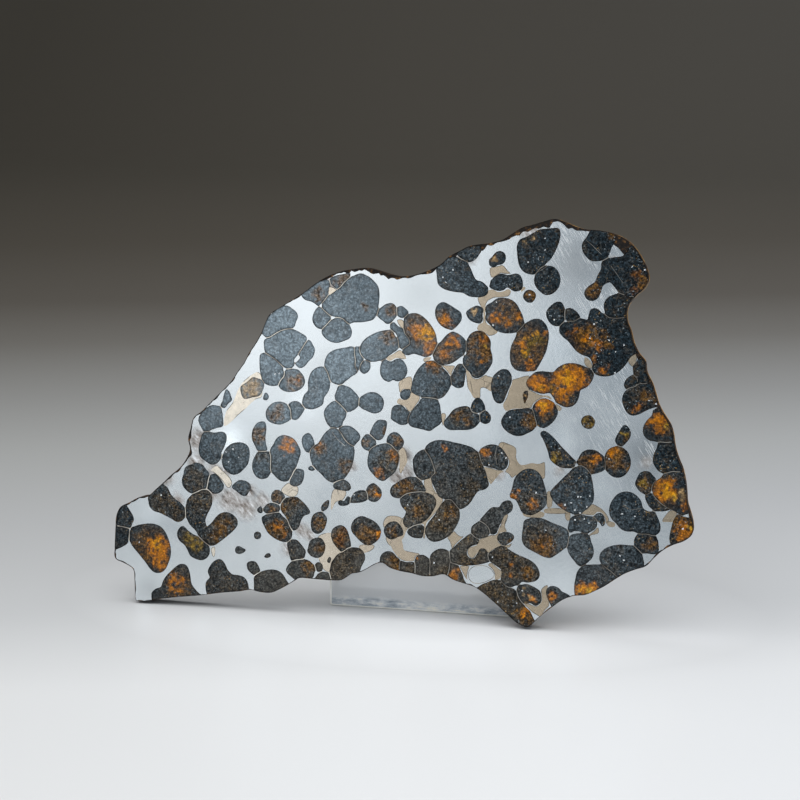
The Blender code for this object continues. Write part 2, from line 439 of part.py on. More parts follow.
def face_outline():
    """The front face's outline: the silhouette less the strip of side wall that the photograph shows."""
    silhouette = smooth_ring(on_face(OUTLINE), OUTLINE_STEP)
    shown = SLICE_THICKNESS * np.array([math.tan(VIEW_AZIMUTH), math.tan(VIEW_ELEVATION - LEAN)])
    normal = outward(silhouette)
    ring = silhouette - normal * np.maximum(0.0, normal @ shown)[:, None]
    ring[:, 1] -= ring[:, 1].min()
    return ring


def build():
    remove_everything()
    collection = bpy.data.collections.new("pallasite_slice")
    bpy.context.scene.collection.children.link(collection)
    materials = {name: make_material(name, *values) for name, values in MATERIALS.items()}
    outline = face_outline()
    pockets = {}
    for name, pixels in CRYSTALS.items():
        ring = smooth_ring(on_face(pixels), CRYSTAL_STEP)
        pockets[name] = ring - outward(ring) * (WEB / 2)
    pockets = settle(pockets, outline)
    plate("metal_matrix", [outline, *pockets.values()], collection, materials["iron_nickel"])
    for name, ring in pockets.items():
        tone = next((slot for word, slot in TONES.items() if word in name.split("_")), "olivine_slate")
        plate(name, [unlooped(ring - outward(ring) * CRYSTAL_GAP)], collection, materials[tone])
    block("acrylic_stand", collection, materials["clear_acrylic"])


build()
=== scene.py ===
"""Pallasite slice on a clear block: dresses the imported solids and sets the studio. Metres, +Z up."""
import json
import math
import random

import bmesh
import bpy
import numpy as np
from mathutils import Matrix, Vector, noise
from mathutils.geometry import delaunay_2d_cdt


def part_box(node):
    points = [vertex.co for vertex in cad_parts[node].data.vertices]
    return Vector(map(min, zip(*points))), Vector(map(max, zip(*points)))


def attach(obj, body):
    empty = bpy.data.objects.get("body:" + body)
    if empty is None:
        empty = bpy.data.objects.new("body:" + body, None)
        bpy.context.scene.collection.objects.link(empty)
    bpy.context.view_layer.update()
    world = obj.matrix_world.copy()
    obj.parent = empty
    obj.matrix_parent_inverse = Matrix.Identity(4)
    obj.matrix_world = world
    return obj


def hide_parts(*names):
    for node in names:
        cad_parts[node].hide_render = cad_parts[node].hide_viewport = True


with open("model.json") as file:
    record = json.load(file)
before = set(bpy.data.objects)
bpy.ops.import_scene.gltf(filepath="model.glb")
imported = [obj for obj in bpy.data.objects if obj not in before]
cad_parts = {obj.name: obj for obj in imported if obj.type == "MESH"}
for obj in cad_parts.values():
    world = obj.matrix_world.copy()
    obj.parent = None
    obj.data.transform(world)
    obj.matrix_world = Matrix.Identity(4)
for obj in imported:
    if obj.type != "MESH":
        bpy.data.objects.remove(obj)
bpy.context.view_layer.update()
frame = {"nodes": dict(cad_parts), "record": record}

# The slice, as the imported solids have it
THICKNESS = 0.0030
LEAN = math.radians(8.0)
FACE_FOOT = -0.00715

# How finely it is drawn
PIXEL = 0.000171             # one photographed pixel on the slice's face
MILLI = 1000.0               # the net of triangles is made in millimetres
EDGE_STEP = 0.00045          # spacing of the points along the slice's edge
PATCH_STEP = 0.00040         # the same along a patch of colour
FINE = 0.00030               # the same along a crystal, and inside it
COARSE = 0.00100             # the same inside the metal
WALL_ROWS = 5                # rows of faces on the slice's outer wall
WALL_DEPTH = 0.00004         # how far the outer wall is pitted
ROW, STRAY, CLEAR = 0.87, 0.24, 0.45    # of spare points: their rows, their scatter, their room; all in steps

# How closely its pieces lie
GROW = 0.00021               # what a crystal grows beyond its solid, to meet its pocket
VEIN = 0.00013               # thinnest metal between two crystals
VEIN_REACH = 0.00014         # metal as near as this to two crystals is a vein between them
VEIN_MARGIN = 0.0002         # how far round a crystal such metal is looked for
EDGE = 0.00005               # thinnest metal between a crystal and the slice's edge
CUT = (0.00070, 0.00125)     # a crystal this near the edge was cut by it, and is drawn out to it
CLOSE = (0.00036, 0.00058)   # crystals this near each other touch along a vein
ROUNDS = 14                  # rounds in which crystals are drawn clear of each other
SEAM = 0.00009               # width of the dark line round a patch
THREAD = 0.00007             # width of a pale vein over a crystal
THIN_CRUST = 0.00008         # the narrowest that the crust shows on the face
RAGGED = 0.0004              # how far the edge of the crust on the shoulder strays
WANDER = 0.0009              # the same for a blotch of colour
GLINT_RADIUS = 1.1 * PIXEL
BEVEL = 0.0004               # of the block

# By the distance from a crystal's rim: how far its face lies below the metal's, and how bright it is
SINK = ((0.0, 0.00015, 0.0005), (-0.00006, -0.00003, -0.00002))
SWELL = 0.000010             # how far a crystal's polished face is uneven
DIM = ((0.0, 0.00007, 0.00026), (0.45, 0.72, 1.0))
# Noise over the face, in features per metre, and below what value a seam is missing
CRUST_NOISE, RAGGED_NOISE, SEAM_NOISE, SWELL_NOISE = 700.0, 900.0, 450.0, 600.0
SEAM_BREAK = -0.12
# Where a stain and a blotch end, in radii, and how steeply or how softly
STAIN_END, STAIN_SLOPE = 1.15, 1.6
BLOTCH_END, BLOTCH_SOFT = 1.20, 0.60
# How much the painted sheen differs from crystal to crystal and within one, and what share of it a blotch
# takes away
MOOD, CLOUD, COVERED = 0.14, 0.20, 0.5
# A blotch's place is the more even the redder it is, up to a limit
EVEN_BY_RED, EVEN_MOST = 1.1, 0.75
# A small crystal counts as amber if a blotch in it is as wide and as red as this
AMBER_RADIUS, AMBER_RED = 0.0011, 0.15

# Material slots of the web's faces, then those of a crystal's
ON_METAL, ON_BEIGE, ON_CRUST, ON_SEAM, ON_RIM, ON_VEIN = range(6)
ON_CRYSTAL, ON_GLINT, ON_THREAD = range(3)

# The photograph's viewpoint
VIEW_FROM = Vector((0.06595, -0.30825, 0.1039))
VIEW_AZIMUTH = math.radians(12.1)
VIEW_ELEVATION = math.radians(12.0)
VIEW_FOCAL = 1900.0          # pixels
VIEW_CENTRE = 400.0
SENSOR = 36.0                # millimetres

# The floor: how far it reaches to each side, where its sweep begins, the sweep's radius and the wall's top
FLOOR_SIDE, SWEEP_FROM, SWEEP_RADIUS, WALL_TOP = 5.0, 0.8, 0.8, 3.0

# Small crystals, read off clockwise, in the photograph's pixels
SMALL = {
    "west": (
        (118,520, 120,511, 124,509, 127,507.5, 131,512, 134,519, 132,524, 129,528, 121,527, 117,523),
        (116,525, 118,525, 128,528, 129,530, 128,540, 127,544, 122,547, 117,551, 116,545, 115,535),
        (182,479, 184,473, 187,468, 192,464, 197,462.5, 203,465, 206,469, 209,473, 208,480, 208,486,
         205,489, 198,491, 191,493, 186,490, 182.5,485),
        (209,479, 211,475, 215,473.5, 219,477, 223,483, 224,486, 222,491, 216,494, 211,492, 207,488),
        (232,486, 236,482, 240,480, 246,481, 250,484, 251,488, 249,492, 246,496, 241,495, 236,491, 233,489),
        (235,550, 236,547, 239,546, 243,548, 246,550, 243,553, 239,554, 236,553),
        (264,557, 266,554, 269,553, 271,555, 270,557, 267,558),
        (254,534, 255.5,532, 258,531.5, 260.5,533, 261.3,536, 260,538.5, 257,539.3, 254.5,538),
        (271,497, 272,493, 275,490, 279,490, 283,493, 285,497, 283,501, 280,504, 276,503, 272,501),
        (264,508, 267,504, 272,503, 277,504, 280,507, 279,511, 273,512, 267,513, 264,511),
        (257,510, 259,507, 261,506, 262,510, 262,513, 259,513),
        (283,500, 286,498, 291,497, 297,497, 301,500, 306,505, 310,511, 309,514, 304,516, 301,521, 299,527,
         296,530, 293,530, 290,525, 288,519, 284,514, 281,510, 281,504),
        (262,517, 266,515, 272,514, 279,513, 282,516, 286,520, 289,526, 292,532, 292,536, 289,540, 285,542,
         280,541, 274,538, 268,533, 264,526, 262,521),
        (287,545, 289,542, 293,539.5, 297,540, 301,544, 305,550, 305,556, 302,559, 296,560, 291,560,
         289,554),
        (311,521, 313,515, 318,512, 323,513, 327,518, 326,525, 323,531, 318,534, 313,532, 311,527),
        (308,548, 310,541, 315,538, 321,538, 325,544, 325,550, 322,556, 317,558, 311,556, 308,552),
        (321,509, 322,505, 326,501, 329,500, 329,505, 327,509, 323,511),
        (286,570, 288,565, 293,561, 300,559.5, 308,560, 313,564, 316,569, 312,575, 307,580, 300,580,
         293,577, 288,574),
        (315,565, 318,562, 322,564, 323,568, 321,571, 317,571),
        (310,580, 314,576, 319,573, 326,572, 331,575, 335,580, 336,583, 325,583, 312,581.5),
        (247,567, 247,563, 251,561, 256,562, 259,567, 260,571, 256,575, 252,574, 248,570),
        (327,561, 329,557, 331,558, 329,563)),
    "north_west": (
        (221,404, 225,396, 229,391, 231,396, 232,400, 228,404, 225,408, 221,406),
        (199,423, 200,419, 206,413, 213,407, 219,406, 222,411, 223,418, 223,426, 217,428, 210,430, 204,431,
         201,427),
        (241,386, 247,382, 252,377.5, 257,378, 262,381, 264,386, 262,392, 259,396, 252,397.5, 245,399,
         242,396, 240.5,391),
        (263,398, 265,393, 267,393, 269,397, 267,400, 264,400),
        (266,411, 269,406, 274,402.5, 280,401.5, 284,402.5, 288,405, 290,409, 291,414, 291,419, 287,422,
         281,424.5, 275,424, 269,421.5, 266,417),
        (257,423, 261,421.5, 265,422, 266.5,428, 265.5,437, 266,444, 267,450, 258,450.5, 255,446, 252,439,
         252,432, 254,427),
        (258,452, 264,452, 271,452, 272,460, 271,468, 270,474, 267,478, 261,479, 256,476.5, 252.5,470,
         252.5,462, 255,456),
        (268,322, 273,317, 280,312, 288,308, 293,309, 297,313, 298,317, 296,322, 294,327, 287,328, 280,330,
         273,334, 268,337, 265,336, 266,330),
        (309,340, 313,345, 315,350, 313,357, 309,361, 305,366, 301,368, 297,366, 296,363, 300,358, 299,354,
         303,348),
        (260,355, 264,353, 270,356.5, 276,361, 282,366.5, 283,370, 284,375, 280,380, 278,385, 272,386,
         266,384, 262,378, 260,371, 259.5,362),
        (286,370, 292,369, 298,370, 303,375, 305,381, 303,387, 297,391, 290,392, 284,391, 279,387, 280,382,
         284,377, 285,372),
        (303,298, 309,293, 316,287, 323,284, 329,282, 329,289, 326,297, 321,303, 318,305.5, 312,302,
         305,300),
        (320,307.5, 325,312, 330,316, 330.5,320, 326,326, 321,329, 316,327, 312.5,321, 313,315, 316,309),
        (322,330, 326,325, 331,320.5, 336,318.5, 342,318.5, 346,322, 350,326, 352,332, 350,338, 344,341,
         337,343, 330,341.5, 325,338, 322,334),
        (331,281, 337,278, 345,276, 351,275, 345,281, 341,286, 338,289, 333,286)),
    "middle": (
        (288,405, 291,402, 295,401, 299,402, 302,406, 304.5,409, 302,414, 298,419, 294,420, 291,418,
         291,413, 290,408),
        (336,392, 338,387, 343,385.5, 349,387, 354,391, 358,396, 359,402, 358,406, 354,410, 348,412,
         345,409, 340,404, 336,400, 334.5,396),
        (360,398, 365,394, 371,392, 377,393, 382,397, 384,402, 383,408, 380,412, 374,413.5, 367,411,
         361,408, 359,404),
        (329,404, 334,401, 338,403, 343,408, 346,412, 346,417, 343,422, 341,427, 336,427.5, 329,426,
         325,419, 324,411),
        (339,429, 343,426, 350,426, 356,430, 360,435, 359,440, 356,444, 353,446, 347,443, 343,438, 340,433),
        (309,433, 312,436, 314,441, 314,446, 311,451, 307,452.5, 304,449, 302,444, 302,438, 305,434),
        (297,469, 301,469, 304,471, 304,477, 302,483, 298,486, 294,486.5, 290,484, 291,478, 294,472),
        (371,430, 374,424, 378,420, 384,420, 387,422, 386.5,428, 385,434, 382,439, 378,440, 373,436,
         370,433),
        (362,440, 364,436, 367,434, 371,437, 376,442, 375,446, 371,449, 367,450.5, 363,448, 361,444),
        (333,486, 336,482, 341,480, 347,481, 351,486, 350,490, 346,491, 339,490, 335,489),
        (308,468, 311,466, 315,469, 313,471, 309,470),
        (366,491, 368,486, 373,483, 378,486, 381.5,491, 381.5,496, 379,500, 375,502, 370,501, 367,497),
        (351,499, 353,494, 357,491, 363,490, 367,492, 368,496, 367,500, 363,502, 357,503, 351,503, 349,502),
        (338,502, 340,500, 344,501, 346,498, 348,496, 350,498, 350,502, 348,505, 343,506, 339,505),
        (331,535, 332,530, 335,527, 340,525, 345,527, 348,532, 350,539, 351,545, 349,549, 345,551, 342,552,
         338,549, 334,544, 332,540),
        (351,527, 353,521, 357,517.5, 362,516, 368,518, 374,521, 379,526, 381,531, 380,537, 377,541,
         371,545, 366,545, 361,542, 356,537, 352,532),
        (384,529, 386,525, 390,522, 396,521.5, 400,525, 403,530, 403,535, 398,537, 393,539, 389,539,
         385,535),
        (407,532, 411,528, 416,526, 421,525, 424,527, 423,533, 422,538, 415,538, 410,536),
        (390,491, 392,486, 398,482, 404,478.5, 411,476.5, 418,479, 423,484, 426,491, 420,491, 412,492,
         405,494, 400,498, 394,497.5, 391,495),
        (371,570, 377,564, 379,558, 383,553, 388,551, 393,552.5, 397,557, 400,560, 400,573, 394,572,
         388,569.5, 382,566, 378,565.5, 374,568),
        (400,561, 406,562, 413,562, 415,565, 416,576, 408,575, 400,573),
        (415,561, 416,557, 419,555, 424,555, 428,558, 431,562, 430,570, 428,576, 426,579, 418,578, 416,572),
        (430,558, 432,553, 437,549.5, 442,548.5, 447,550, 449,553, 450,558, 449.5,565, 449,572, 446,576,
         440,577.5, 433,578.5, 430,573)),
    "crest": (
        (378,315, 380,309, 385,304.5, 391,303, 395,305, 396.5,311, 396,317, 392,321, 387,324, 383,321,
         379,318),
        (398,307, 402,306, 406,309, 408.5,312, 405,316, 402,318, 398,316, 397,311),
        (390,327, 394,322.5, 398,326, 403,329, 405,333, 409,338, 411,343, 407,346, 402,349, 399,346,
         399,340, 396,333),
        (355,347, 360,347, 361,353, 364,359, 360,364, 359,370, 357,372, 355,367, 356,360, 354,353),
        (361,366, 363,361, 367,361, 370,363, 370.5,368, 368,372, 364,374, 361,372, 360,369),
        (380,371, 381,364, 385,360, 391,361.5, 396,359, 401,359, 405,363, 407.5,370, 406,376, 402,380,
         397,381.5, 393,380, 389,382, 384,380, 381,376),
        (400,394, 403,390, 408,389, 411,390, 410,395, 408,399, 404,400, 401,398),
        (391,415, 392,408, 396,405, 402,405, 406,409, 410,413, 410,419, 407,424, 401,425, 395,422, 391,419),
        (386.5,441, 388,436, 392,432.5, 397,432.5, 401,436, 404,441, 403,446, 400,449.5, 396,449.5,
         392,447, 388,443.5),
        (444,424, 445,420, 449,415, 453,410, 459,407, 466,406, 470,408, 472,412, 478,414, 480,418, 479,423,
         474,428, 467,430, 458,430, 450,430, 445,427),
        (471,409, 472,403, 475,399, 478,397.5, 482,400, 485,406, 485,410, 481,412, 477,413, 473,412),
        (480,416, 482,412, 486,410.5, 489,413, 491,417, 490,422, 486,424, 482,423, 480,420),
        (451.5,377, 452.5,373, 454.5,368.5, 457,365, 460,363.5, 463,366, 465.8,370, 465.5,376, 464.5,382,
         463.5,386.5, 459,388.3, 455,387.3, 452.5,384.5, 451.5,381),
        (413,459, 417,453, 423,449.5, 426,452, 430,458, 432,464, 435,472, 432,477, 427,479, 422,480,
         418,477, 414,472, 413,465),
        (458,256, 463,252.5, 470,250.5, 478,249, 482,250, 479,255, 476,259, 471,262, 467,261, 462,259),
        (489,263, 489,259.5, 492,257, 494,254, 497,251.5, 501,251, 504.5,253, 506,257, 505,261.5,
         502,264.5, 498,265, 495,267, 492,267, 489.5,265.5),
        (490,283, 491,280, 495,276.5, 499,274, 503,273.5, 507,275, 511,274.5, 516,273.5, 520,275,
         522.5,280, 523,286, 521,290, 517,291.5, 513,291, 510,289, 507,287.5, 504,290, 500,291, 496,290.5,
         493,289.5, 490,287),
        (523,297, 524,293, 527,290, 531,290, 535,292.5, 536,296, 534.5,300, 532,302.5, 528,302.5, 524.5,300),
        (466,313, 468,310, 472,307.5, 477,305.5, 481,307, 483,309, 482.5,315, 482.5,321, 480,323.5,
         476,323, 471,321, 468,318)),
    "east": (
        (500,370, 504,369, 508,370, 511,374, 512,379, 511,384, 508,391, 506,396, 504,401, 501,403.5,
         497,403, 494,400, 492,394, 491,387, 492,380, 494,375),
        (523,393, 526,390.5, 528,392, 528,397, 526,401, 525,404, 523.5,401, 523,397),
        (581,421, 583,417, 588,415, 592,416.5, 595,421, 594,426, 590,429, 585,428, 582,425),
        (546,314, 547,310, 551,305.5, 556,302, 561,302, 564,306, 565,312, 565,318, 564,320.5, 561,323.5,
         558,326, 553,325.5, 549,322, 547,318),
        (565,311, 567,308.5, 571,308, 576,311, 580,316, 579,318, 575,320, 571,321.5, 567,321, 565,318),
        (640,355, 645,357.5, 648,361, 648,368, 650,374, 650,378, 647,382, 642,384, 638,383, 636,380,
         634,376, 633,371, 633,366, 636,362, 637,358),
        (624,386, 625,381, 628,377.5, 632,375, 636,376, 638,379, 640,383, 637,386, 633,388, 627,389.5),
        (615,440, 617,435, 620,430, 623,425.5, 626,425, 629,428, 631,433, 630,438, 627,442, 624,445,
         621,446.5, 618,445, 616,443),
        (577,463, 579,457, 582,452.5, 586,450, 591,449.5, 596,450.5, 600,453, 604,457, 606,461, 606,467,
         603,471, 598,473, 592,474, 588,471, 583,467, 579,465),
        (569,522, 571,517.5, 576,516, 582,515, 588,516, 593,517, 596,521, 597,526, 594,530, 589,532.5,
         584,532.5, 580,531, 574,531, 570,532.5, 568,528),
        (594,516, 597,513.5, 601,513, 604,516, 605,521, 604.5,525, 602,526.5, 600,523, 597,519),
        (635,484, 637,478, 640,473, 645,471, 650,472, 653,475.5, 656,479, 653,483, 652,488, 650,492,
         646,494.5, 642,493, 638,489.5),
        (645,497, 649,494, 652,493, 655,497, 660,502, 665,506, 670,510, 666,511, 660,511.5, 655,510.5,
         650,507.5, 647,503),
        (634,543, 634.5,538.5, 637,535, 642,534, 649,534.5, 655,536, 657.5,539, 658.5,544, 656.5,549,
         652,552.5, 646,553.5, 641,552.5, 638,549.5, 635,546),
        (658,558, 661,555, 665,552.5, 669,551, 666,554, 661,559, 658,561),
        (643,568, 647,568.5, 651,566, 655,563.5, 652,567.5, 648,569.8, 644,570)),
    "foot": (
        (517,588, 520,585.5, 525,584.5, 531,585.5, 536,588, 540,591, 541.5,596, 541.5,601, 539,604.5,
         535,606, 531,603.5, 527,603.5, 523,603, 520,600, 517.5,595),
        (546,593, 547,588.5, 551,586, 556,586.5, 560,589, 562,591.5, 567,592, 572,594, 575.5,598,
         570,599.8, 564,603.5, 558,607.5, 553,609, 550.5,607.5, 549,603, 547.5,598),
        (541,618, 543,613.5, 546,610, 549,608.5, 552,609, 553,611, 549,614, 545,617.5, 542,620),
        (450,563, 455,564.5, 459,567, 461,571, 464,577, 467,580, 466,583.5, 461,585, 456,584, 452,580.5,
         449.5,576, 449.5,570),
        (450,551, 454,547, 459,542, 464,538, 470,534, 476,538, 479,540, 478,544, 472,546, 468,549, 467,554,
         470,558, 474,558, 477,554, 480,549, 484,548.5, 487,551, 487,556, 489,559, 490,561.5, 484,563.5,
         477,565, 470,565.5, 463,565.5, 457,563.5, 451,562),
        (471,530, 472,526, 476,523, 479,521.5, 484,524, 488,528, 489.5,532, 488.5,535.5, 484,538,
         479,538.5, 475,537, 471.5,533),
        (480,520, 484,515, 489,509.5, 493,507, 499,507, 502,502.5, 507,500.3, 511,501.5, 513,505.5,
         512,510.5, 508,514, 504.5,516, 502,521, 499.5,526, 497,532, 494,534.5, 491,534, 489.5,529,
         487,525, 483,522),
        (497,538.5, 498.5,535, 502,532.5, 507,532, 511,533, 514,536, 513.5,539.5, 511,542, 507,544.5,
         503,545, 499.5,542.5))}

# Beige patches (phosphide and sulphide) lie flush in the metal: colour only. Read as above.
BEIGE = (
    (224,426, 226,412, 233,402, 238,390, 243,382, 250,376, 258,372, 262,378, 262,396, 256,399, 250,404,
     244,410, 238,415, 232,421),
    (211,549, 215,547, 215,555, 213,557),
    (281,490, 286,484, 290,483, 298,487, 297,495, 291,497, 284,494),
    (211,470, 217,466, 222,470, 230,478, 232,484, 228,488, 222,480, 216,474),
    (318,537, 326,533, 334,534, 340,544, 350,553, 352,558, 340,557, 334,564, 331,572, 324,570, 319,560,
     316,548),
    (383,524, 388,516, 402,518, 406,530, 401,541, 391,546, 386,540, 386,532),
    (360,545, 374,545, 372,550, 364,553, 360,551),
    (333,490, 346,491, 343,500, 336,502, 331,510),
    (397,320, 403,320, 404,325, 403,329, 399,325),
    (386,358, 393,354, 400,350, 405,355, 406,359, 402,359, 396,358, 390,361),
    (399,382, 407,377, 412,378, 411,391, 404,389, 400,393, 399,388),
    (411,392, 420,397, 416,405, 410,412, 404,406, 397,403, 399,398, 403,400, 409,398),
    (424,358, 431,357, 430,360, 424,362),
    (329,287, 337,290, 333,295, 329,298),
    (398,452, 402,447, 405,449, 407,455, 407,462, 404,468, 401,474, 399,470, 400,462, 399,456),
    (441,414, 446,414, 445,420, 443,426),
    (441,365, 448,365.5, 455,366, 452.5,371, 451,376, 447,371, 443,367),
    (466,370, 467,383, 468,388, 471,393, 474,398, 480,398, 480.5,389, 483,387.5, 487,389, 491,391.5,
     491.5,383, 493,377.5, 489,376.5, 485,375, 479,378.5, 473,378, 469,372),
    (490,268, 494,267, 498,266, 502,265, 505,267, 508,271, 511,273.5, 506,274, 501,273, 496,276, 492,278,
     490,274),
    (489,290, 494,290, 498,292, 504,291, 508,289, 511,291, 509,296, 504,297, 498,297.5, 493,298, 486,304,
     486,322, 491,326, 498,332, 490,336, 486,333.5, 482,331, 477,330, 479,324, 483,322, 483,309, 481,307,
     478,297),
    (522,287, 526,288, 521,292),
    (512,380, 518,378, 525,376, 530,376, 527,381, 528,388, 534,392, 541,395, 549,396, 552,400, 545,397,
     538,400, 533,404, 531,408, 522,408.5, 512,409, 506,411, 503,405, 507,397, 509,390, 512,383),
    (585,357, 591,362, 592,369, 585,365),
    (556,404, 562,408, 560,411, 558,411),
    (629,356, 633,353, 637,356, 636,362, 634,367, 630,365, 628,361),
    (498,446, 501,442, 505,442.5, 510,444.5, 515,447, 516.5,451, 516,457, 518,462, 521,465, 526,464.5,
     532,463, 538,464, 543,462.5, 545,463, 545,477, 543,479, 536,476, 528,474, 517,475, 512,478, 509,474,
     505,471.5, 508,467, 509,461, 506,455, 502,449),
    (484,467, 488,467.5, 493,468.5, 497,470, 504,471, 500,473.5, 497,477, 493,482, 491,484.5, 489,482,
     487,478, 485.5,472),
    (503,516, 508,514, 507,520, 505,525, 505,530, 500,532),
    (524,511, 543,512, 543,517, 534,518, 524,516),
    (545,509, 556,508, 570,510, 570,513, 558,514, 545,513),
    (547,492, 552,493, 552,506, 547,507),
    (565,512, 570,512, 570,520, 566,520),
    (582,512, 588,508, 592,504, 598,506.5, 603,510, 607,515, 609,520, 606,524, 605,518, 602,513, 597,512,
     594,515, 588,515, 582,514),
    (590,534, 594,531, 598,527, 599,532, 597,534, 592,535, 588,537),
    (607,521, 615,523, 614,527, 608,526),
    (670,510.5, 676,511, 677,514, 675,519, 673,522, 668,522, 662,521.5, 665,516),
    (391,540, 400,538, 403,545, 404,550, 412,552, 420,554, 415,557, 414,561, 405,561, 399,558, 394,552,
     391,546),
    (424,480, 431,478, 433,487, 438,495, 443,499, 442,503, 437,511, 430,519, 426,524, 425,538, 423,537,
     424,525, 417,524, 410,527, 407,530, 404,534, 402,531, 401,521, 412,508, 424,495),
    (454,531, 457,534, 461,536.5, 464,536, 460,540, 455,545, 452,549, 451,545, 449,540, 447,538, 451,534),
    (478,541, 480,539, 485,537.5, 489,535.5, 491,535, 495,535, 497.5,533, 499,528, 503,521, 505,517,
     507,516, 506,520, 505,527, 507,531.5, 501,532.5, 497.5,536.5, 498.5,542, 502,545.5, 496,548,
     491,551.5, 488,553.5, 486.5,551, 483,548.7, 480,549.5, 477,553.5, 473.5,558, 470,557.5, 467.5,553,
     468.5,548, 473,546.5, 477,545),
    (503,545.7, 508,545, 512,543, 510,547, 507,548),
    (460,566, 469,566, 468,570, 467,576, 467.5,580, 465,577, 462,571),
    (488,565, 491,562.5, 494,565, 499,569, 502,572, 500,578.5, 495,579.5, 495,575, 493,570, 490,567),
    (427,579, 429,573, 432,577),
    (524,604, 528,603.5, 532,605, 536,606.5, 540,604, 542,600, 541.5,595, 541,590, 544,586.5, 548,585,
     547,590, 547,596, 549,601, 549,606, 546,609, 543,613, 541,617, 537,615, 532,612, 528,608))
# A patch of bare metal with a dark seam round it
OVAL = (468,573, 471,568, 477,565.5, 484,565.5, 490,568, 494,573, 494,577, 488,581, 480,583.5, 473,583,
        469,579)

# Colour in the crystals: a tone, then the middle and radius of each of its blotches, in pixels
BLOTCHES = (
    ("umber", (195,478,14, 203,500,17, 222,523,12, 214,541,12, 230,487,9, 162,503,14, 178,515,10,
        284,510,14, 277,530,12, 297,500,9, 340,565,16, 356,549,9, 397,562,12, 412,572,9, 425,576,9,
        447,574,11, 468,562,12, 480,545,12, 490,592,18, 510,606,14, 512,562,20, 530,575,12, 404,492,14,
        418,512,14, 440,520,14, 452,505,12, 470,492,13, 490,480,13, 478,462,12, 530,505,14, 540,540,20,
        460,415,14, 268,436,9, 262,455,8, 386,462,13)),
    ("brown", (148,546,19, 178,586,15, 200,596,10, 420,329,19, 446,350,13, 443,318,10, 393,333,7,
        435,366,8, 613,456,13, 650,458,12, 656,480,10, 684,522,15, 664,424,13, 660,492,18, 644,484,8,
        580,455,12)),
    ("brown", (207,405,10, 276,413,9, 258,436,9, 294,382,10, 318,294,8, 343,280,8, 319,448,9, 364,308,4,
        392,311,6, 436,366,8, 481,335,10, 482,355,9, 642,283,7, 545,545,10)),
    ("tan", (250,388,11)),
    ("brown", (223,526,9, 216,536,7, 284,507,4, 297,500,5, 276,497,6, 272,508,6, 309,567,6, 277,531,11,
        319,523,8, 317,548,7, 325,505,3, 341,538,10, 345,465,8, 375,492,8, 366,442,5, 386,430,4,
        366,535,10, 393,533,5, 404,487,9, 397,442,6, 393,455,8, 388,337,9, 413,322,5, 457,414,5, 468,421,5,
        475,330,4)),
    ("brown", (585,340,9, 600,335,8, 606,346,5, 593,290,7, 612,236,6, 646,397,7, 628,468,6, 588,464,9,
        588,422,7, 530,296,6, 494,257,4, 530,420,9, 543,548,14, 527,574,8, 513,540,4, 550,468,6, 417,513,6,
        450,512,7, 395,562,9, 650,545,7, 690,532,8, 657,478,6, 628,440,4, 570,370,20)),
    ("redbrown", (449,326,8, 636,275,5, 636,290,4, 561,508,4, 572,334,5, 341,540,6, 344,528,4)),
    ("brown", (527,614,11, 528,346,22, 508,314,15, 566,402,9, 546,414,8, 526,399,5, 481,348,16, 586,338,14)),
    ("olive", (195,543,9, 188,537,6, 526,350,6, 532,344,6, 538,338,6, 558,388,9, 557,458,6, 626,434,3,
        588,422,7, 643,484,4)),
    ("amber", (157,548,13, 160,562,8, 176,583,10, 453,339,5, 457,343,5, 445,318,6, 495,318,7, 508,323,5,
        518,315,4, 405,333,3, 377,537,4, 379,494,4, 531,360,3, 528,366,2.5, 522,347,4, 546,331,3,
        574,331,2.5, 584,338,3, 592,340,2.5)),
    ("amber", (656,422,8, 665,418,4, 614,451,6, 594,459,5, 665,491,13, 526,612,4, 581,590,8, 592,587,5,
        430,348,7, 417,332,8)),
    ("amber", (288,445,8)),
    ("orange", (378,474,5, 393,455,4, 486,452,5, 513,497,4, 533,504,5, 203,595,9, 277,526,5, 445,352,5,
        479,453,4, 319,446,3, 446,447,3, 483,340,5, 482,359,4, 530,369,5, 597,345,5, 594,360,4, 604,370,6,
        638,408,5, 661,431,5, 516,490,3, 543,548,3, 686,504,5, 685,535,6, 680,540,4, 510,563,3, 511,576,3,
        455,574,5, 457,581,4, 553,595,5, 298,380,2, 417,558,3, 285,534,3)),
    ("amber", (530,381,7, 565,382,14, 575,377,11, 584,381,7, 541,386,9, 544,405,10, 553,402,4, 561,396,7)),
    ("amber", (532,599,3, 553,600,3)),
    ("orange", (433,365,4, 430,362,3, 684,528,7)),
    ("gold", (427,333,8, 157,545,6, 667,496,6, 567,378,7, 541,388,4, 543,405,4, 665,490,5, 524,350,3,
        525,339,3, 581,590,4, 536,334,3)),
    ("yellow", (565,367,2.5, 668,426,3, 673,499,3, 554,557,2.5, 591,590,3, 688,526,3, 487,347,2.5)),
    ("tan", (494,258,3, 526,243,3, 532,240,2, 685,495,4, 473,310,3, 524,592,2, 530,599,2.5)))
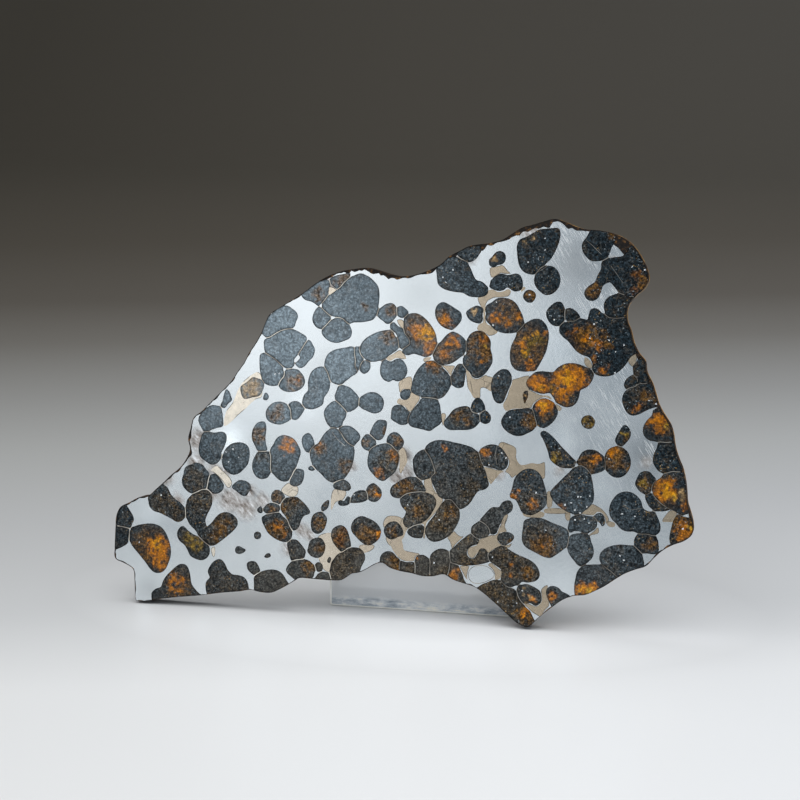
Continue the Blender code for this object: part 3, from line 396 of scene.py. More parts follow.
# Fractures that catch the light, in pixels
GLINTS = (
    226,452, 233,449, 238,457, 229,462, 241,451, 222,458, 580,513, 587,507, 592,516, 571,503, 590,496,
    563,513, 578,497, 568,518, 584,519, 596,505, 602,350, 609,340, 616,352, 590,338, 624,345, 545,250,
    538,258, 528,262, 139,542, 161,495, 275,374, 279,373, 423,391, 502,453, 506,458, 489,465, 453,270,
    443,277, 446,282, 493,325, 496,302, 545,238, 510,417, 632.5,267, 648,280, 645,270, 646,295, 594,324,
    615,373, 649,401, 656,404, 541,506, 536,493, 581,497, 575,510, 565,505, 609,459, 546,530, 678,456,
    685,484, 635,516, 622,514, 683,529, 492,557, 498,602, 517,603, 600,590, 620,556, 624,560, 408,505,
    439,520, 354,495, 315,563, 434,563, 498.5,376, 554,319.5, 529.5,295, 638,371, 575,520, 589,523, 522,591)
# Rough, stained places in the metal: the middle and radius of each, in pixels
STAINS = (
    198,440,13, 196,462,10, 222,474,9, 230,500,14, 246,508,13, 262,500,9, 212,494,8, 214,470,8, 166,478,9,
    178,500,7, 250,492,8, 290,548,9, 302,530,8, 310,536,6, 402,456,11, 404,472,11, 412,486,8, 396,478,8,
    386,470,5, 560,470,5, 530,230,12, 466,254,12, 330,284,8, 620,282,8, 630,300,10, 614,262,6, 668,500,8,
    646,462,7, 500,474,6, 440,488,6, 352,466,6)
# Where the metal's reflection is painted brighter or duller: the middle and radius of each in pixels, and by
# how much
PAINTED_REFLECTION = (
    577,262,30,0.7, 560,350,24,1.28, 603,489,14,1.12, 645,455,22,0.72, 560,580,24,1.2, 150,516,12,1.2,
    150,588,12,0.82, 230,440,14,1.55, 620,542,16,1.14, 485,435,16,1.08, 420,292,34,0.84, 335,366,20,0.9,
    305,402,16,1.2, 560,440,16,1.18)
# Fine pale veins over crystals that are grown together, in pixels
THREADS = (
    (536,273, 543,269, 550,264), (431,304, 436,318, 440,330), (611,266, 616,273, 623,283),
    (586,240, 593,246, 601,254), (332,432, 338,440, 345,446), (459,441, 471,446, 480,444),
    (500,579, 507,587, 516,589), (622,506, 632,510, 643,508), (525,497, 536,494, 548,496),
    (497,446, 495,455, 497,465), (225,405, 231,411, 237,408))
# Dark crust that covers the worn shoulder, beyond the strip along the edge, in pixels
SHOULDER = (
    606,234, 622,237, 637,247, 646,259, 651,272, 651,287, 643,296, 635,304, 631,300, 636,290, 633,276,
    629,262, 622,252, 613,243)
# Dark crust along the edge: where, and how wide it shows on the face, in pixels
CRUST = (
    136,604,0.8, 113,557,1.5, 119,511,1.8, 164,485,1.5, 190,450,1.8, 220,396,1.0, 249,356,1.0, 280,310,1.0,
    306,294,1.6, 330,279,2.0, 356,271,2.5, 384,274,3.0, 416,277,1.8, 440,268,1.8, 455,257,4.0, 476,248,5.0,
    495,245,2.0, 516,234,5.0, 530,229,7.0, 545,224,5.0, 563,222,3.0, 590,231,2.0, 616,235,4.0, 630,243,6.0,
    645,260,9.0, 651,280,9.0, 640,298,7.0, 630,312,3.0, 636,340,2.5, 648,365,2.5, 661,403,2.5, 677,440,2.5,
    687,474,2.5, 692,508,2.5, 697,534,2.0, 657,561,1.2, 600,583,0.8, 558,608,0.8, 527,630,0.8, 476,591,0.8,
    400,574,1.0, 343,583,1.0, 252,593,0.8, 180,600,0.6)

# The slate and grey tones belong to the painted sheen; the black is lifted bluish by a painted reflection.
TONES = {                    # how a blotch's colour looks in daylight, red, green and blue of 255
    "black": (31, 43, 50), "umber": (64, 54, 40), "slate": (111, 121, 127), "grey": (94, 80, 60),
    "brown": (108, 74, 28), "redbrown": (118, 72, 26), "olive": (124, 98, 26), "amber": (207, 125, 4),
    "orange": (172, 104, 22), "gold": (238, 164, 14), "yellow": (240, 186, 56), "tan": (190, 156, 108)}
PAINTED_SHEEN = (                    # painted sheen, where light lifts the dark crystals: a tone, its place, its reach and its share
    ("slate", -0.0197, 0.0472, 0.0250, 0.0230, 1.60), ("grey", -0.0034, 0.0040, 0.0320, 0.0135, 0.58),
    ("grey", 0.0094, 0.0204, 0.0110, 0.0090, 0.30), ("slate", 0.0310, 0.0170, 0.0110, 0.0110, 0.34))
CLEARNESS = {"olivine_amber": 0.25, "olivine_brown": 0.12, "olivine_slate": 0.05}
FLOOR = (                    # how the sweep darkens backwards as painted falloff of the light, from -0.10 m to 0.90 m
    (0.00, (0.77, 0.765, 0.76)), (0.065, (0.75, 0.745, 0.74)), (0.10, (0.59, 0.59, 0.59)),
    (0.16, (0.49, 0.49, 0.49)), (0.22, (0.41, 0.41, 0.40)), (0.28, (0.30, 0.295, 0.285)),
    (0.36, (0.176, 0.165, 0.150)), (0.44, (0.112, 0.100, 0.086)), (0.60, (0.086, 0.075, 0.061)),
    (0.90, (0.079, 0.070, 0.057)))
SOFTBOXES = (                # name, azimuth, elevation, distance, width, height, radiance
    ("front_softbox", -16.5, 12.5, 0.95, 0.29, 0.35, 1.17),
    ("side_softbox", -84.0, 42.0, 0.90, 0.42, 0.42, 1.40),
    ("overhead_softbox", -12.0, 82.0, 1.05, 1.90, 1.60, 1.80))

# The slice's face: x along its width, y up the face and z out of it, towards the viewer
FACE = Matrix.Translation((0.0, FACE_FOOT, THICKNESS * math.sin(LEAN))) @ Matrix.Rotation(
    math.radians(90.0) - LEAN, 4, "X")


def towards(azimuth, elevation):
    """The direction of a viewpoint or a light, seen from the slice."""
    return Vector((math.sin(azimuth) * math.cos(elevation), -math.cos(azimuth) * math.cos(elevation),
                   math.sin(elevation)))


BACK = towards(VIEW_AZIMUTH, VIEW_ELEVATION)
RIGHT = Vector((math.cos(VIEW_AZIMUTH), math.sin(VIEW_AZIMUTH), 0.0))
ABOVE = BACK.cross(RIGHT)


def linear(colour):
    """Red, green and blue of 255 as the shader's own linear values."""
    return np.array([(c / 255.0 / 12.92) if c < 11 else ((c / 255.0 + 0.055) / 1.055) ** 2.4 for c in colour])


def on_face(pixels):
    """Turn a flat run of pixel coordinates into points on the slice's face, in its own x and y."""
    origin, normal = FACE.to_translation(), FACE.to_3x3() @ Vector((0.0, 0.0, 1.0))
    points = []
    for x, y in zip(pixels[0::2], pixels[1::2]):
        ray = RIGHT * (x - VIEW_CENTRE) / VIEW_FOCAL + ABOVE * (VIEW_CENTRE - y) / VIEW_FOCAL - BACK
        reach = (origin - VIEW_FROM).dot(normal) / ray.dot(normal)
        hit = FACE.inverted() @ (VIEW_FROM + ray * reach)
        points.append((hit.x, hit.y))
    return np.array(points)


def places_and(run, count=3):
    """Split a flat run of x, y and further values into places on the face and one array for each value."""
    rows = np.array(run, float).reshape(-1, count)
    return on_face(rows[:, :2].ravel()), *rows[:, 2:].T


def wobble(x, y, scale, layer):
    """Smooth noise over the face."""
    return noise.noise(Vector((x * scale, y * scale, layer)))


def smooth_ring(points, step, least=9):
    """A closed smooth curve through the points, as evenly spaced corners about one step apart."""
    before, after = np.roll(points, 1, axis=0), np.roll(points, -1, axis=0)
    beyond = np.roll(points, -2, axis=0)
    curve = []
    for t in np.arange(0.0, 1.0, 0.125):
        curve.append(0.5 * (2 * points + (after - before) * t
                            + (2 * before - 5 * points + 4 * after - beyond) * t ** 2
                            + (3 * points - before - 3 * after + beyond) * t ** 3))
    curve = np.stack(curve, axis=1).reshape(-1, 2)
    closed = np.vstack([curve, curve[:1]])
    along = np.concatenate([[0.0], np.cumsum(np.linalg.norm(np.diff(closed, axis=0), axis=1))])
    places = np.linspace(0.0, along[-1], max(least, round(along[-1] / step)), endpoint=False)
    return np.stack([np.interp(places, along, closed[:, axis]) for axis in (0, 1)], axis=1)


def outward(ring):
    """The outward direction at each corner of a ring."""
    run = np.roll(ring, -1, axis=0) - np.roll(ring, 1, axis=0)
    run /= np.maximum(np.linalg.norm(run, axis=1), 1e-12)[:, None]
    area = np.sum(ring[:, 0] * np.roll(ring[:, 1], -1) - np.roll(ring[:, 0], -1) * ring[:, 1])
    return np.stack([run[:, 1], -run[:, 0]], axis=1) * (1.0 if area > 0 else -1.0)


def inside(points, ring):
    """If each point is inside the ring."""
    found = np.zeros(len(points), bool)
    near = np.all((points >= ring.min(0)) & (points <= ring.max(0)), axis=1)
    if near.any():
        some, end = points[near], np.roll(ring, -1, axis=0)
        crosses = (ring[None, :, 1] > some[:, None, 1]) != (end[None, :, 1] > some[:, None, 1])
        rise = np.where(end[:, 1] == ring[:, 1], 1e-12, end[:, 1] - ring[:, 1])
        where = ring[:, 0] + (some[:, None, 1] - ring[:, 1]) * (end[:, 0] - ring[:, 0]) / rise
        found[near] = np.sum(crosses & (some[:, None, 0] < where), axis=1) % 2 == 1
    return found


def nearest(points, ring):
    """For each point: its distance from the ring and the nearest place on it."""
    edge = np.roll(ring, -1, axis=0) - ring
    offset = points[:, None, :] - ring[None, :, :]
    share = np.clip(np.sum(offset * edge, axis=2) / np.maximum(np.sum(edge * edge, axis=1), 1e-18), 0.0, 1.0)
    foot = ring + share[:, :, None] * edge
    gap = np.linalg.norm(points[:, None, :] - foot, axis=2)
    best = np.argmin(gap, axis=1)
    rows = np.arange(len(points))
    return gap[rows, best], foot[rows, best]


def apart(ring, wall, margin):
    """If two rings are clearly more than a margin apart."""
    return np.any(ring.max(0) + margin < wall.min(0)) or np.any(wall.max(0) + margin < ring.min(0))


def front_rings(node):
    """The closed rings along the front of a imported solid, the longest first, on the slice's face."""
    mesh, places, ids = frame["nodes"][node].data, {}, []
    for vertex in mesh.vertices:
        at = FACE.inverted() @ vertex.co
        key = (round(at.x * 1e6), round(at.y * 1e6)) if at.z > -THICKNESS / 2 else None
        places[key] = (at.x, at.y)
        ids.append(key)
    ahead = {}
    for polygon in mesh.polygons:
        keys = [ids[i] for i in polygon.vertices]
        if None not in keys:
            for i, key in enumerate(keys):
                ahead.setdefault(key, set()).add(keys[(i + 1) % len(keys)])
    onward = {a: b for a, others in ahead.items() for b in others if a not in ahead.get(b, ())}
    rings = []
    while onward:
        key, ring = next(iter(onward)), []
        while key in onward:
            ring.append(places[key])
            key = onward.pop(key)
        rings.append(np.array(ring))
    return sorted(rings, key=len, reverse=True)


def pushed(ring, gap, foot, within, short):
    """A ring with each corner moved off the nearest place on another ring by what it is short of."""
    return ring + (ring - foot) / np.maximum(gap, 1e-9)[:, None] * (within * short)[:, None]


def settle(crystals, light, outline):
    """Draw crystals clear of each other and of the edge; the light ones give way to the others."""
    for _ in range(ROUNDS):
        for name in crystals:
            ring = crystals[name]
            for other, wall in crystals.items():
                if other == name or (other in light and name not in light) or apart(ring, wall, VEIN):
                    continue
                gap, foot = nearest(ring, wall)
                within = np.where(inside(ring, wall), -1.0, 1.0)
                share = 1.0 if name in light and other not in light else 0.5
                ring = pushed(ring, gap, foot, within, np.maximum(0.0, VEIN - gap * within) * share)
            gap, foot = nearest(ring, outline)
            within = np.where(inside(ring, outline), 1.0, -1.0)
            crystals[name] = pushed(ring, gap, foot, within, np.maximum(0.0, EDGE - gap * within))


def close_up(crystals):
    """Bring neighbours that nearly touch together, so that only a vein is left between them."""
    closed = {}
    for name, ring in crystals.items():
        nearby = np.full(len(ring), 1.0)
        way = np.zeros_like(ring)
        for other, wall in crystals.items():
            if other != name and not apart(ring, wall, CLOSE[1]):
                gap, foot = nearest(ring, wall)
                better = (gap < nearby) & ~inside(ring, wall)
                nearby = np.where(better, gap, nearby)
                way = np.where(better[:, None], foot - ring, way)
        shift = np.maximum(0.0, nearby - VEIN) / 2 * np.interp(nearby, CLOSE, (1.0, 0.0))
        closed[name] = ring + way / np.maximum(nearby, 1e-9)[:, None] * shift[:, None]
    return closed


def draw_out(ring, outline):
    """Draw the corners of a ring that lie near the slice's edge out to it."""
    gap, foot = nearest(ring, outline)
    kept = np.interp(gap, CUT, (EDGE, CUT[1]))
    near = (gap < CUT[1]) & inside(ring, outline)
    return np.where(near[:, None], foot + (ring - foot) * (kept / np.maximum(gap, 1e-9))[:, None], ring)


def scatter(ring, step, seed):
    """Uneven points inside a ring, about one step apart and clear of it."""
    dice = np.random.default_rng(seed)
    low, high = ring.min(0), ring.max(0)
    across, rows = np.arange(low[0], high[0], step), np.arange(low[1], high[1], step * ROW)
    points = np.array([(x + (step / 2 if i % 2 else 0.0), y) for i, y in enumerate(rows) for x in across])
    points += dice.uniform(-STRAY, STRAY, points.shape) * step
    points = points[inside(points, ring)]
    return points[nearest(points, ring)[0] > step * CLEAR] if len(points) else points


def speck(middle, radius, seed):
    """A small uneven ring."""
    dice = random.Random(seed)
    angles = sorted(dice.uniform(0.0, math.tau) for _ in range(6))
    return np.array([(middle[0] + math.cos(a) * radius * dice.uniform(0.5, 1.2),
                      middle[1] + math.sin(a) * radius * dice.uniform(0.5, 1.2)) for a in angles])


def strip(line, width):
    """A narrow closed ring along a line of points."""
    ahead = np.gradient(line, axis=0)
    ahead /= np.linalg.norm(ahead, axis=1)[:, None]
    aside = np.stack([-ahead[:, 1], ahead[:, 0]], axis=1) * width / 2
    return np.vstack([line + aside, (line - aside)[::-1]])


# The rings: edge, crust, large and small crystals
outline = smooth_ring(front_rings("metal_matrix")[0], EDGE_STEP)
outline[:, 1] = np.maximum(outline[:, 1], 0.0)
large = {}
for node in frame["nodes"]:
    if node.startswith("olivine"):
        ring = smooth_ring(front_rings(node)[0], FINE)
        large[node] = ring + outward(ring) * GROW
small = {f"{region}_{number}": smooth_ring(on_face(pixels), FINE)
         for region, rings in SMALL.items() for number, pixels in enumerate(rings)}
crystals = {name: draw_out(ring, outline) for name, ring in close_up({**large, **small}).items()}
settle(crystals, small, outline)

anchors, widths = places_and(CRUST)
reach = np.linalg.norm(outline[:, None, :] - anchors[None, :, :], axis=2) ** -3.0
width = (reach @ (widths * PIXEL)) / reach.sum(1)
width *= [0.55 + 0.9 * abs(wobble(x, y, CRUST_NOISE, 3.0)) * 2.0 for x, y in outline]
crust = outline - outward(outline) * np.maximum(width, THIN_CRUST)[:, None]


def sheet():
    """One flat net of triangles over the face: its corners, the piece that owns each, and each one's slot."""
    corners, edges = [], []
    patches = [smooth_ring(on_face(pixels), PATCH_STEP) for pixels in (*BEIGE, OVAL)]
    glints = [speck(middle, GLINT_RADIUS, i) for i, middle in enumerate(on_face(GLINTS))]
    shoulder = smooth_ring(on_face(SHOULDER), PATCH_STEP)
    shoulder += np.array([[wobble(x, y, RAGGED_NOISE, k) for k in (1.0, 5.0)] for x, y in shoulder]) * RAGGED
    threads = [strip(on_face(line), THREAD) for line in THREADS]
    rims = [ring - outward(ring) * SEAM for ring in patches]
    for ring in (outline, crust, patches[-1], shoulder, *patches[:-1], *rims, *crystals.values(), *glints,
                 *threads):
        first = len(corners)
        edges.extend((first + i, first + (i + 1) % len(ring)) for i in range(len(ring)))
        corners.extend(Vector(point) * MILLI for point in ring.tolist())
    spare = [scatter(ring, FINE, i) for i, ring in enumerate(crystals.values())]
    for points in (*spare, scatter(crust, COARSE, 999)):
        corners.extend(Vector(point) * MILLI for point in points.tolist())
    flat, _, triangles = delaunay_2d_cdt(corners, edges, [], 0, 1e-5)[:3]
    flat = np.array([(x, y) for x, y in flat]) / MILLI
    triangles = np.array([t for t in triangles if len(t) == 3])
    a, b, c = (flat[triangles[:, i]] for i in range(3))
    clockwise = (b[:, 0] - a[:, 0]) * (c[:, 1] - a[:, 1]) - (b[:, 1] - a[:, 1]) * (c[:, 0] - a[:, 0]) < 0
    triangles[clockwise] = triangles[clockwise][:, ::-1]
    middles = flat[triangles].mean(axis=1)

    owner = np.where(inside(middles, outline), 0, -1)      # -1 is beyond the edge, 0 is metal
    slot = np.where(inside(middles, crust), ON_METAL, ON_CRUST)
    broken = np.array([wobble(x, y, SEAM_NOISE, 8.0) > SEAM_BREAK for x, y in middles])
    for ring, rim in zip(patches, rims):
        within = inside(middles, ring)
        slot[within & (slot == ON_METAL)] = ON_BEIGE
        slot[within & ~inside(middles, rim) & broken & (slot == ON_BEIGE)] = ON_SEAM
    slot[inside(middles, rims[-1])] = ON_METAL             # the oval is bare metal inside its seam
    slot[inside(middles, shoulder)] = ON_CRUST
    for i, ring in enumerate(crystals.values()):
        owner[inside(middles, ring) & (owner == 0)] = i + 1
    bare = np.flatnonzero((owner == 0) & (slot == ON_METAL))
    close = np.zeros(len(bare), int)
    for ring in crystals.values():
        near = np.all((middles[bare] > ring.min(0) - VEIN_MARGIN)
                      & (middles[bare] < ring.max(0) + VEIN_MARGIN), axis=1)
        if near.any():
            close[np.flatnonzero(near)[nearest(middles[bare[near]], ring)[0] < VEIN_REACH]] += 1
    slot[bare[close > 1]] = ON_VEIN
    slot[owner > 0] = ON_CRYSTAL
    for rings, kind in ((glints, ON_GLINT), (threads, ON_THREAD)):
        for ring in rings:
            slot[inside(middles, ring) & (owner > 0)] = kind
    return flat, triangles, owner, slot


def solid(name, mine, front, wall_slot, rows=1):
    """A plate from some of the net's triangles: a front at the given heights, a rear to match, and walls."""
    used, index = np.unique(triangles[mine], return_inverse=True)
    index = index.reshape(-1, 3).tolist()
    count = len(used)
    front = np.broadcast_to(front, count)
    rear = -THICKNESS - front
    ahead = dict.fromkeys((t[i], t[(i + 1) % 3]) for t in index for i in range(3))
    border = [(i, j) for i, j in ahead if (j, i) not in ahead]
    places = flat[used]
    points = [(x, y, z) for side in (front, rear) for (x, y), z in zip(places.tolist(), side)]
    faces = index + [[k + count for k in reversed(t)] for t in index]
    kinds = slot[mine].tolist() * 2
    levels = {i: [i] for i, _ in border}
    turned = {}
    for i, j in border:
        run = Vector((places[j] - places[i]).tolist())
        for k in (i, j):
            turned[k] = turned.get(k, Vector((0.0, 0.0))) + Vector((-run.y, run.x))
    for i in levels:
        inward = turned[i].normalized()
        for row in range(1, rows):
            z = front[i] + (rear[i] - front[i]) * row / rows
            x, y = places[i]
            depth = WALL_DEPTH * abs(wobble(x, y, RAGGED_NOISE, z * RAGGED_NOISE))
            levels[i].append(len(points))
            points.append((x + inward.x * depth, y + inward.y * depth, z))
        levels[i].append(i + count)
    flush = len(faces)
    for i, j in border:
        for row in range(rows):
            faces.append((levels[i][row], levels[i][row + 1], levels[j][row + 1], levels[j][row]))
            kinds.append(ON_RIM if rows > 1 and row == rows - 1 else wall_slot)
    mesh = bpy.data.meshes.new(name)
    mesh.from_pydata([FACE @ Vector(point) for point in points], [], faces)
    mesh.polygons.foreach_set("material_index", kinds)
    mesh.polygons.foreach_set("use_smooth", [k < flush or rows > 1 for k in range(len(faces))])
    if rows > 1:
        sharp = mesh.attributes.new("sharp_edge", "BOOLEAN", "EDGE")
        rim = {(min(i, j) + k, max(i, j) + k) for i, j in border for k in (0, count)}
        sharp.data.foreach_set("value", [tuple(sorted(e.vertices)) in rim for e in mesh.edges])
    piece = bpy.data.objects.new(name, mesh)
    bpy.context.scene.collection.objects.link(piece)
    return piece, places


def keep(mesh, name, values, otherwise=0.0):
    """Keep a value for each point of a plate's two faces, and another for its walls, for a material."""
    kind, field = ("FLOAT_COLOR", "color") if values.ndim > 1 else ("FLOAT", "value")
    layer = mesh.attributes.new(name, kind, "POINT")
    walls = np.full((len(mesh.vertices) - 2 * len(values), *values.shape[1:]), otherwise)
    layer.data.foreach_set(field, np.concatenate([values, values, walls]).ravel())


def tint_and_sheen(places, gap, blotches, seed):
    """The colour at each place in a crystal, with its blotches and a painted sheen of light; the last number
    is how even.
    """
    colours = np.zeros((len(places), 4))
    # the crystals' near-black, lifted bluish by a painted reflection
    deep = linear(TONES["black"])
    sheen = [(linear(TONES[tone]), *where) for tone, *where in PAINTED_SHEEN]
    mood = 1.0 + MOOD * math.sin(seed * 12.9)
    for k, (x, y) in enumerate(places):
        here = Vector((x * MILLI, y * MILLI, seed * 7.3))
        cloud = noise.noise(here * 0.45) + 0.5 * noise.noise(here * 1.3)
        colour, painted_sheen, calm = deep, np.zeros(3), 0.0
        # painted sheen: the lamps' light on the dark crystals, painted into their colour
        for tone, mx, my, rx, ry, share in sheen:
            share *= math.exp(-((x - mx) / rx) ** 2 - ((y - my) / ry) ** 2) * (mood + CLOUD * cloud)
            painted_sheen = painted_sheen + tone * share
            calm = max(calm, share)
        bend = Vector((noise.noise(here * 0.8) + 0.6 * noise.noise(here * 2.1),
                       noise.noise(here * 0.8 + Vector((9.0, 3.0, 0.0))) + 0.6 * noise.noise(here * 2.3)))
        for tone, (bx, by), radius in blotches:
            away = math.hypot(x + bend.x * WANDER - bx, y + bend.y * WANDER - by) / radius
            weight = min(1.0, max(0.0, (BLOTCH_END - away) / BLOTCH_SOFT))
            if weight > 0.0:
                patchy = min(1.0, max(0.0, 0.85 + 1.5 * noise.noise(here * 1.9)))
                weight *= weight * (3.0 - 2.0 * weight) * patchy
                colour = colour * (1.0 - weight) + tone * weight
                painted_sheen = painted_sheen * (1.0 - COVERED * weight)
                calm = calm * (1.0 - weight) + weight * min(EVEN_MOST, EVEN_BY_RED * tone[0])
        colours[k] = (*(colour + painted_sheen), min(1.0, calm))
    colours[:, :3] *= np.interp(gap, *DIM)[:, None]
    return colours


class Look:
    """A material in the making. Its colours and values are numbers, or sockets of the nodes made for it."""

    def __init__(self, name, **values):
        self.material = bpy.data.materials.new(name)
        self.material.use_nodes = True
        self.tree = self.material.node_tree
        self.shader = self.tree.nodes["Principled BSDF"]
        for socket, value in values.items():
            self.shader.inputs[socket.replace("_", " ")].default_value = value
        self.place = self.tree.nodes.new("ShaderNodeTexCoord").outputs["Object"]

    def node(self, kind, inputs=None, **settings):
        """The outputs of a new node."""
        made = self.tree.nodes.new(kind)
        for key, value in settings.items():
            setattr(made, key, value)
        for key, value in (inputs or {}).items():
            if isinstance(value, bpy.types.NodeSocket):
                self.tree.links.new(value, made.inputs[key])
            else:
                made.inputs[key].default_value = value
        return made.outputs

    def feed(self, **sources):
        """Link sources to the shader's inputs; this ends the making."""
        for socket, source in sources.items():
            self.tree.links.new(source, self.shader.inputs[socket.replace("_", " ")])
        return self.material

    def kept(self, name):
        """What the mesh keeps for each point under this name."""
        return self.node("ShaderNodeAttribute", attribute_name=name)

    def ramp(self, source, *stops):
        """A colour ramp over a value; stops are (place, brightness or colour)."""
        made = self.tree.nodes.new("ShaderNodeValToRGB")
        self.tree.links.new(source, made.inputs["Fac"])
        elements = made.color_ramp.elements
        while len(elements) < len(stops):
            elements.new(0.5)
        for element, (place, value) in zip(elements, stops):
            element.position = place
            element.color = (*value, 1.0) if isinstance(value, tuple) else (value, value, value, 1.0)
        return made.outputs["Color"]

    def stretched(self, scale, location=(0.0, 0.0, 0.0), turn=0.0):
        """The place moved, turned about Y by an angle in degrees, and stretched."""
        return self.node("ShaderNodeMapping", {
            "Vector": self.place, "Location": location, "Rotation": (0.0, math.radians(turn), 0.0),
            "Scale": scale}, vector_type="TEXTURE")["Vector"]

    def noise(self, scale, detail=3.0, rough=0.55, stretch=None, turn=0.0, distortion=0.0):
        """A noise texture; scale is in features per millimetre."""
        return self.node("ShaderNodeTexNoise", {
            "Vector": self.stretched(stretch, turn=turn) if stretch else self.place,
            "Scale": scale * 1000.0, "Detail": detail, "Roughness": rough, "Distortion": distortion})["Fac"]

    def cracks(self, scale, width):
        """Thin lines between cells; scale is in cells per metre."""
        cells = self.node("ShaderNodeTexVoronoi", {"Vector": self.place, "Scale": scale},
                          feature="DISTANCE_TO_EDGE")["Distance"]
        return self.ramp(cells, (0.0, 1.0), (width, 0.0))

    def axes(self):
        """The place's own X, Y and Z."""
        split = self.node("ShaderNodeSeparateXYZ", {"Vector": self.place})
        return [split[axis] for axis in "XYZ"]

    def scaled_sum(self, first, factor, second):
        """The first value times a factor, plus the second."""
        return self.node("ShaderNodeMath", {0: first, 1: factor, 2: second},
                         operation="MULTIPLY_ADD")["Value"]

    def between(self, value, low, high, least=0.0):
        """How far a value has come from low to high, as a number from least to one."""
        return self.node("ShaderNodeMapRange", {
            "Value": value, "From Min": low, "From Max": high, "To Min": least}, clamp=True)["Result"]

    def mix(self, share, first, second, blend="MIX"):
        """Two colours mixed."""
        made = self.tree.nodes.new("ShaderNodeMix")
        made.data_type, made.blend_type = "RGBA", blend
        for socket, value in zip((made.inputs["Factor"], *made.inputs[6:8]), (share, first, second)):
            if isinstance(value, bpy.types.NodeSocket):
                self.tree.links.new(value, socket)
            else:
                socket.default_value = (*value, 1.0) if socket.type == "RGBA" else value
        return made.outputs[2]

    def times(self, first, *others):
        """Colours multiplied."""
        for other in others:
            first = self.mix(1.0, first, other, "MULTIPLY")
        return first

    def bump(self, height, distance, strength):
        """Small relief; distance is in metres."""
        self.feed(Normal=self.node("ShaderNodeBump", {
            "Height": height, "Distance": distance, "Strength": strength})["Normal"])


def metal_look():
    """Cut and polished metal: cloudy, with worn scratches at the upper right, stained places, and a painted
    reflection that is brighter or duller by place.
    """
    look = Look("iron_nickel_cut", Metallic=1.0)
    cloud = look.noise(0.10, 4.0)
    x, _, z = look.axes()
    worn = look.between(look.scaled_sum(z, 0.6, x), 0.050, 0.066, 0.14)
    lines = look.ramp(look.noise(3.4, 3.0, 0.6, (22.0, 1.0, 0.5), 58.0), (0.54, 0.0), (0.66, 0.80))
    patchy = look.ramp(look.noise(0.16, 2.0), (0.40, 0.0), (0.56, 1.0))
    scratches = look.times(lines, patchy, worn)
    # the painted reflection, and the real stains
    painted_reflection, stain = (look.kept(name)["Fac"] for name in ("PaintedReflection", "Stain"))
    colour = look.ramp(cloud, (0.30, (0.60, 0.635, 0.65)), (0.70, (0.67, 0.70, 0.71)))
    colour = look.mix(scratches, look.times(colour, painted_reflection), (0.95, 0.95, 0.94))
    pits = look.ramp(look.noise(1.3, 6.0, 0.75, (2.6, 1.0, 1.0), 48.0), (0.36, (0.10, 0.08, 0.07)),
                     (0.45, (0.34, 0.30, 0.27)), (0.54, (0.52, 0.49, 0.47)), (0.66, (0.95, 0.95, 0.96)))
    rough = look.mix(scratches, look.ramp(cloud, (0.30, 0.16), (0.70, 0.24)), (0.5, 0.5, 0.5))
    fine = look.mix(0.5, look.noise(1.6, 5.0, 0.65), scratches)
    look.bump(look.mix(stain, fine, look.noise(1.1, 5.0, 0.7)), 0.00003, 0.4)
    return look.feed(Base_Color=look.mix(stain, colour, pits),
                     Roughness=look.mix(stain, rough, (0.36, 0.36, 0.36)))


def beige_look():
    """Phosphide and sulphide: pale at the left and brown at the right, partly their own tone and partly
    painted light following the metal's brightness; finely cracked.
    """
    look = Look("phosphide_beige", Metallic=0.9)
    # pale at the left, brown at the right: partly the minerals' own tone, partly painted light
    share = look.between(look.axes()[0], -0.026, 0.020)
    colour = look.times(look.ramp(look.noise(0.8, 5.0, 0.7), (0.26, 0.55), (0.40, 0.90), (0.75, 1.04)),
                        look.ramp(share, (0.0, (0.86, 0.78, 0.66)), (0.6, (0.54, 0.45, 0.34)),
                                  (1.0, (0.47, 0.385, 0.28))))
    thin = look.ramp(look.noise(0.3, 2.0), (0.56, 0.0), (0.64, 0.7))
    cracks = look.times(look.cracks(420.0, 0.03), thin)
    look.bump(look.noise(2.4, 4.0), 0.00002, 0.3)
    return look.feed(Base_Color=look.mix(cracks, colour, (0.05, 0.04, 0.03)),
                     Roughness=look.ramp(look.noise(2.0), (0.3, 0.20), (0.7, 0.28)))


def seam_look():
    """The dark line round a patch."""
    look = Look("patch_seam", Metallic=0.2, Roughness=0.5)
    return look.feed(Base_Color=look.ramp(look.noise(1.4), (0.35, (0.03, 0.027, 0.022)),
                                          (0.65, (0.20, 0.17, 0.13))))


def vein_look():
    """The thread of metal between crystals that almost touch, brighter in some places than in others."""
    look = Look("metal_vein", Metallic=0.7, Roughness=0.35)
    share = look.between(look.axes()[0], -0.015, 0.020)
    bright = look.ramp(look.noise(0.30, 4.0, 0.6), (0.38, (0.26, 0.23, 0.20)), (0.50, (0.56, 0.52, 0.45)),
                       (0.62, (0.84, 0.79, 0.70)))
    return look.feed(Base_Color=look.times(bright, look.ramp(share, (0.0, 1.0), (1.0, 0.35))))


def rim_look():
    """The thin line where light comes through the slice's rear edge, at the right, painted as an amber glow;
    at the left it is dark.
    """
    look = Look("painted_glow_rim", Roughness=0.45, Specular_IOR_Level=0.2)
    share = look.between(look.axes()[0], 0.002, 0.026)
    glow = look.ramp(look.noise(0.5, 5.0, 0.7), (0.40, (0.06, 0.025, 0.010)), (0.52, (0.62, 0.29, 0.04)),
                     (0.64, (0.80, 0.50, 0.14)))
    return look.feed(Base_Color=look.mix(share, (0.028, 0.016, 0.010), glow))


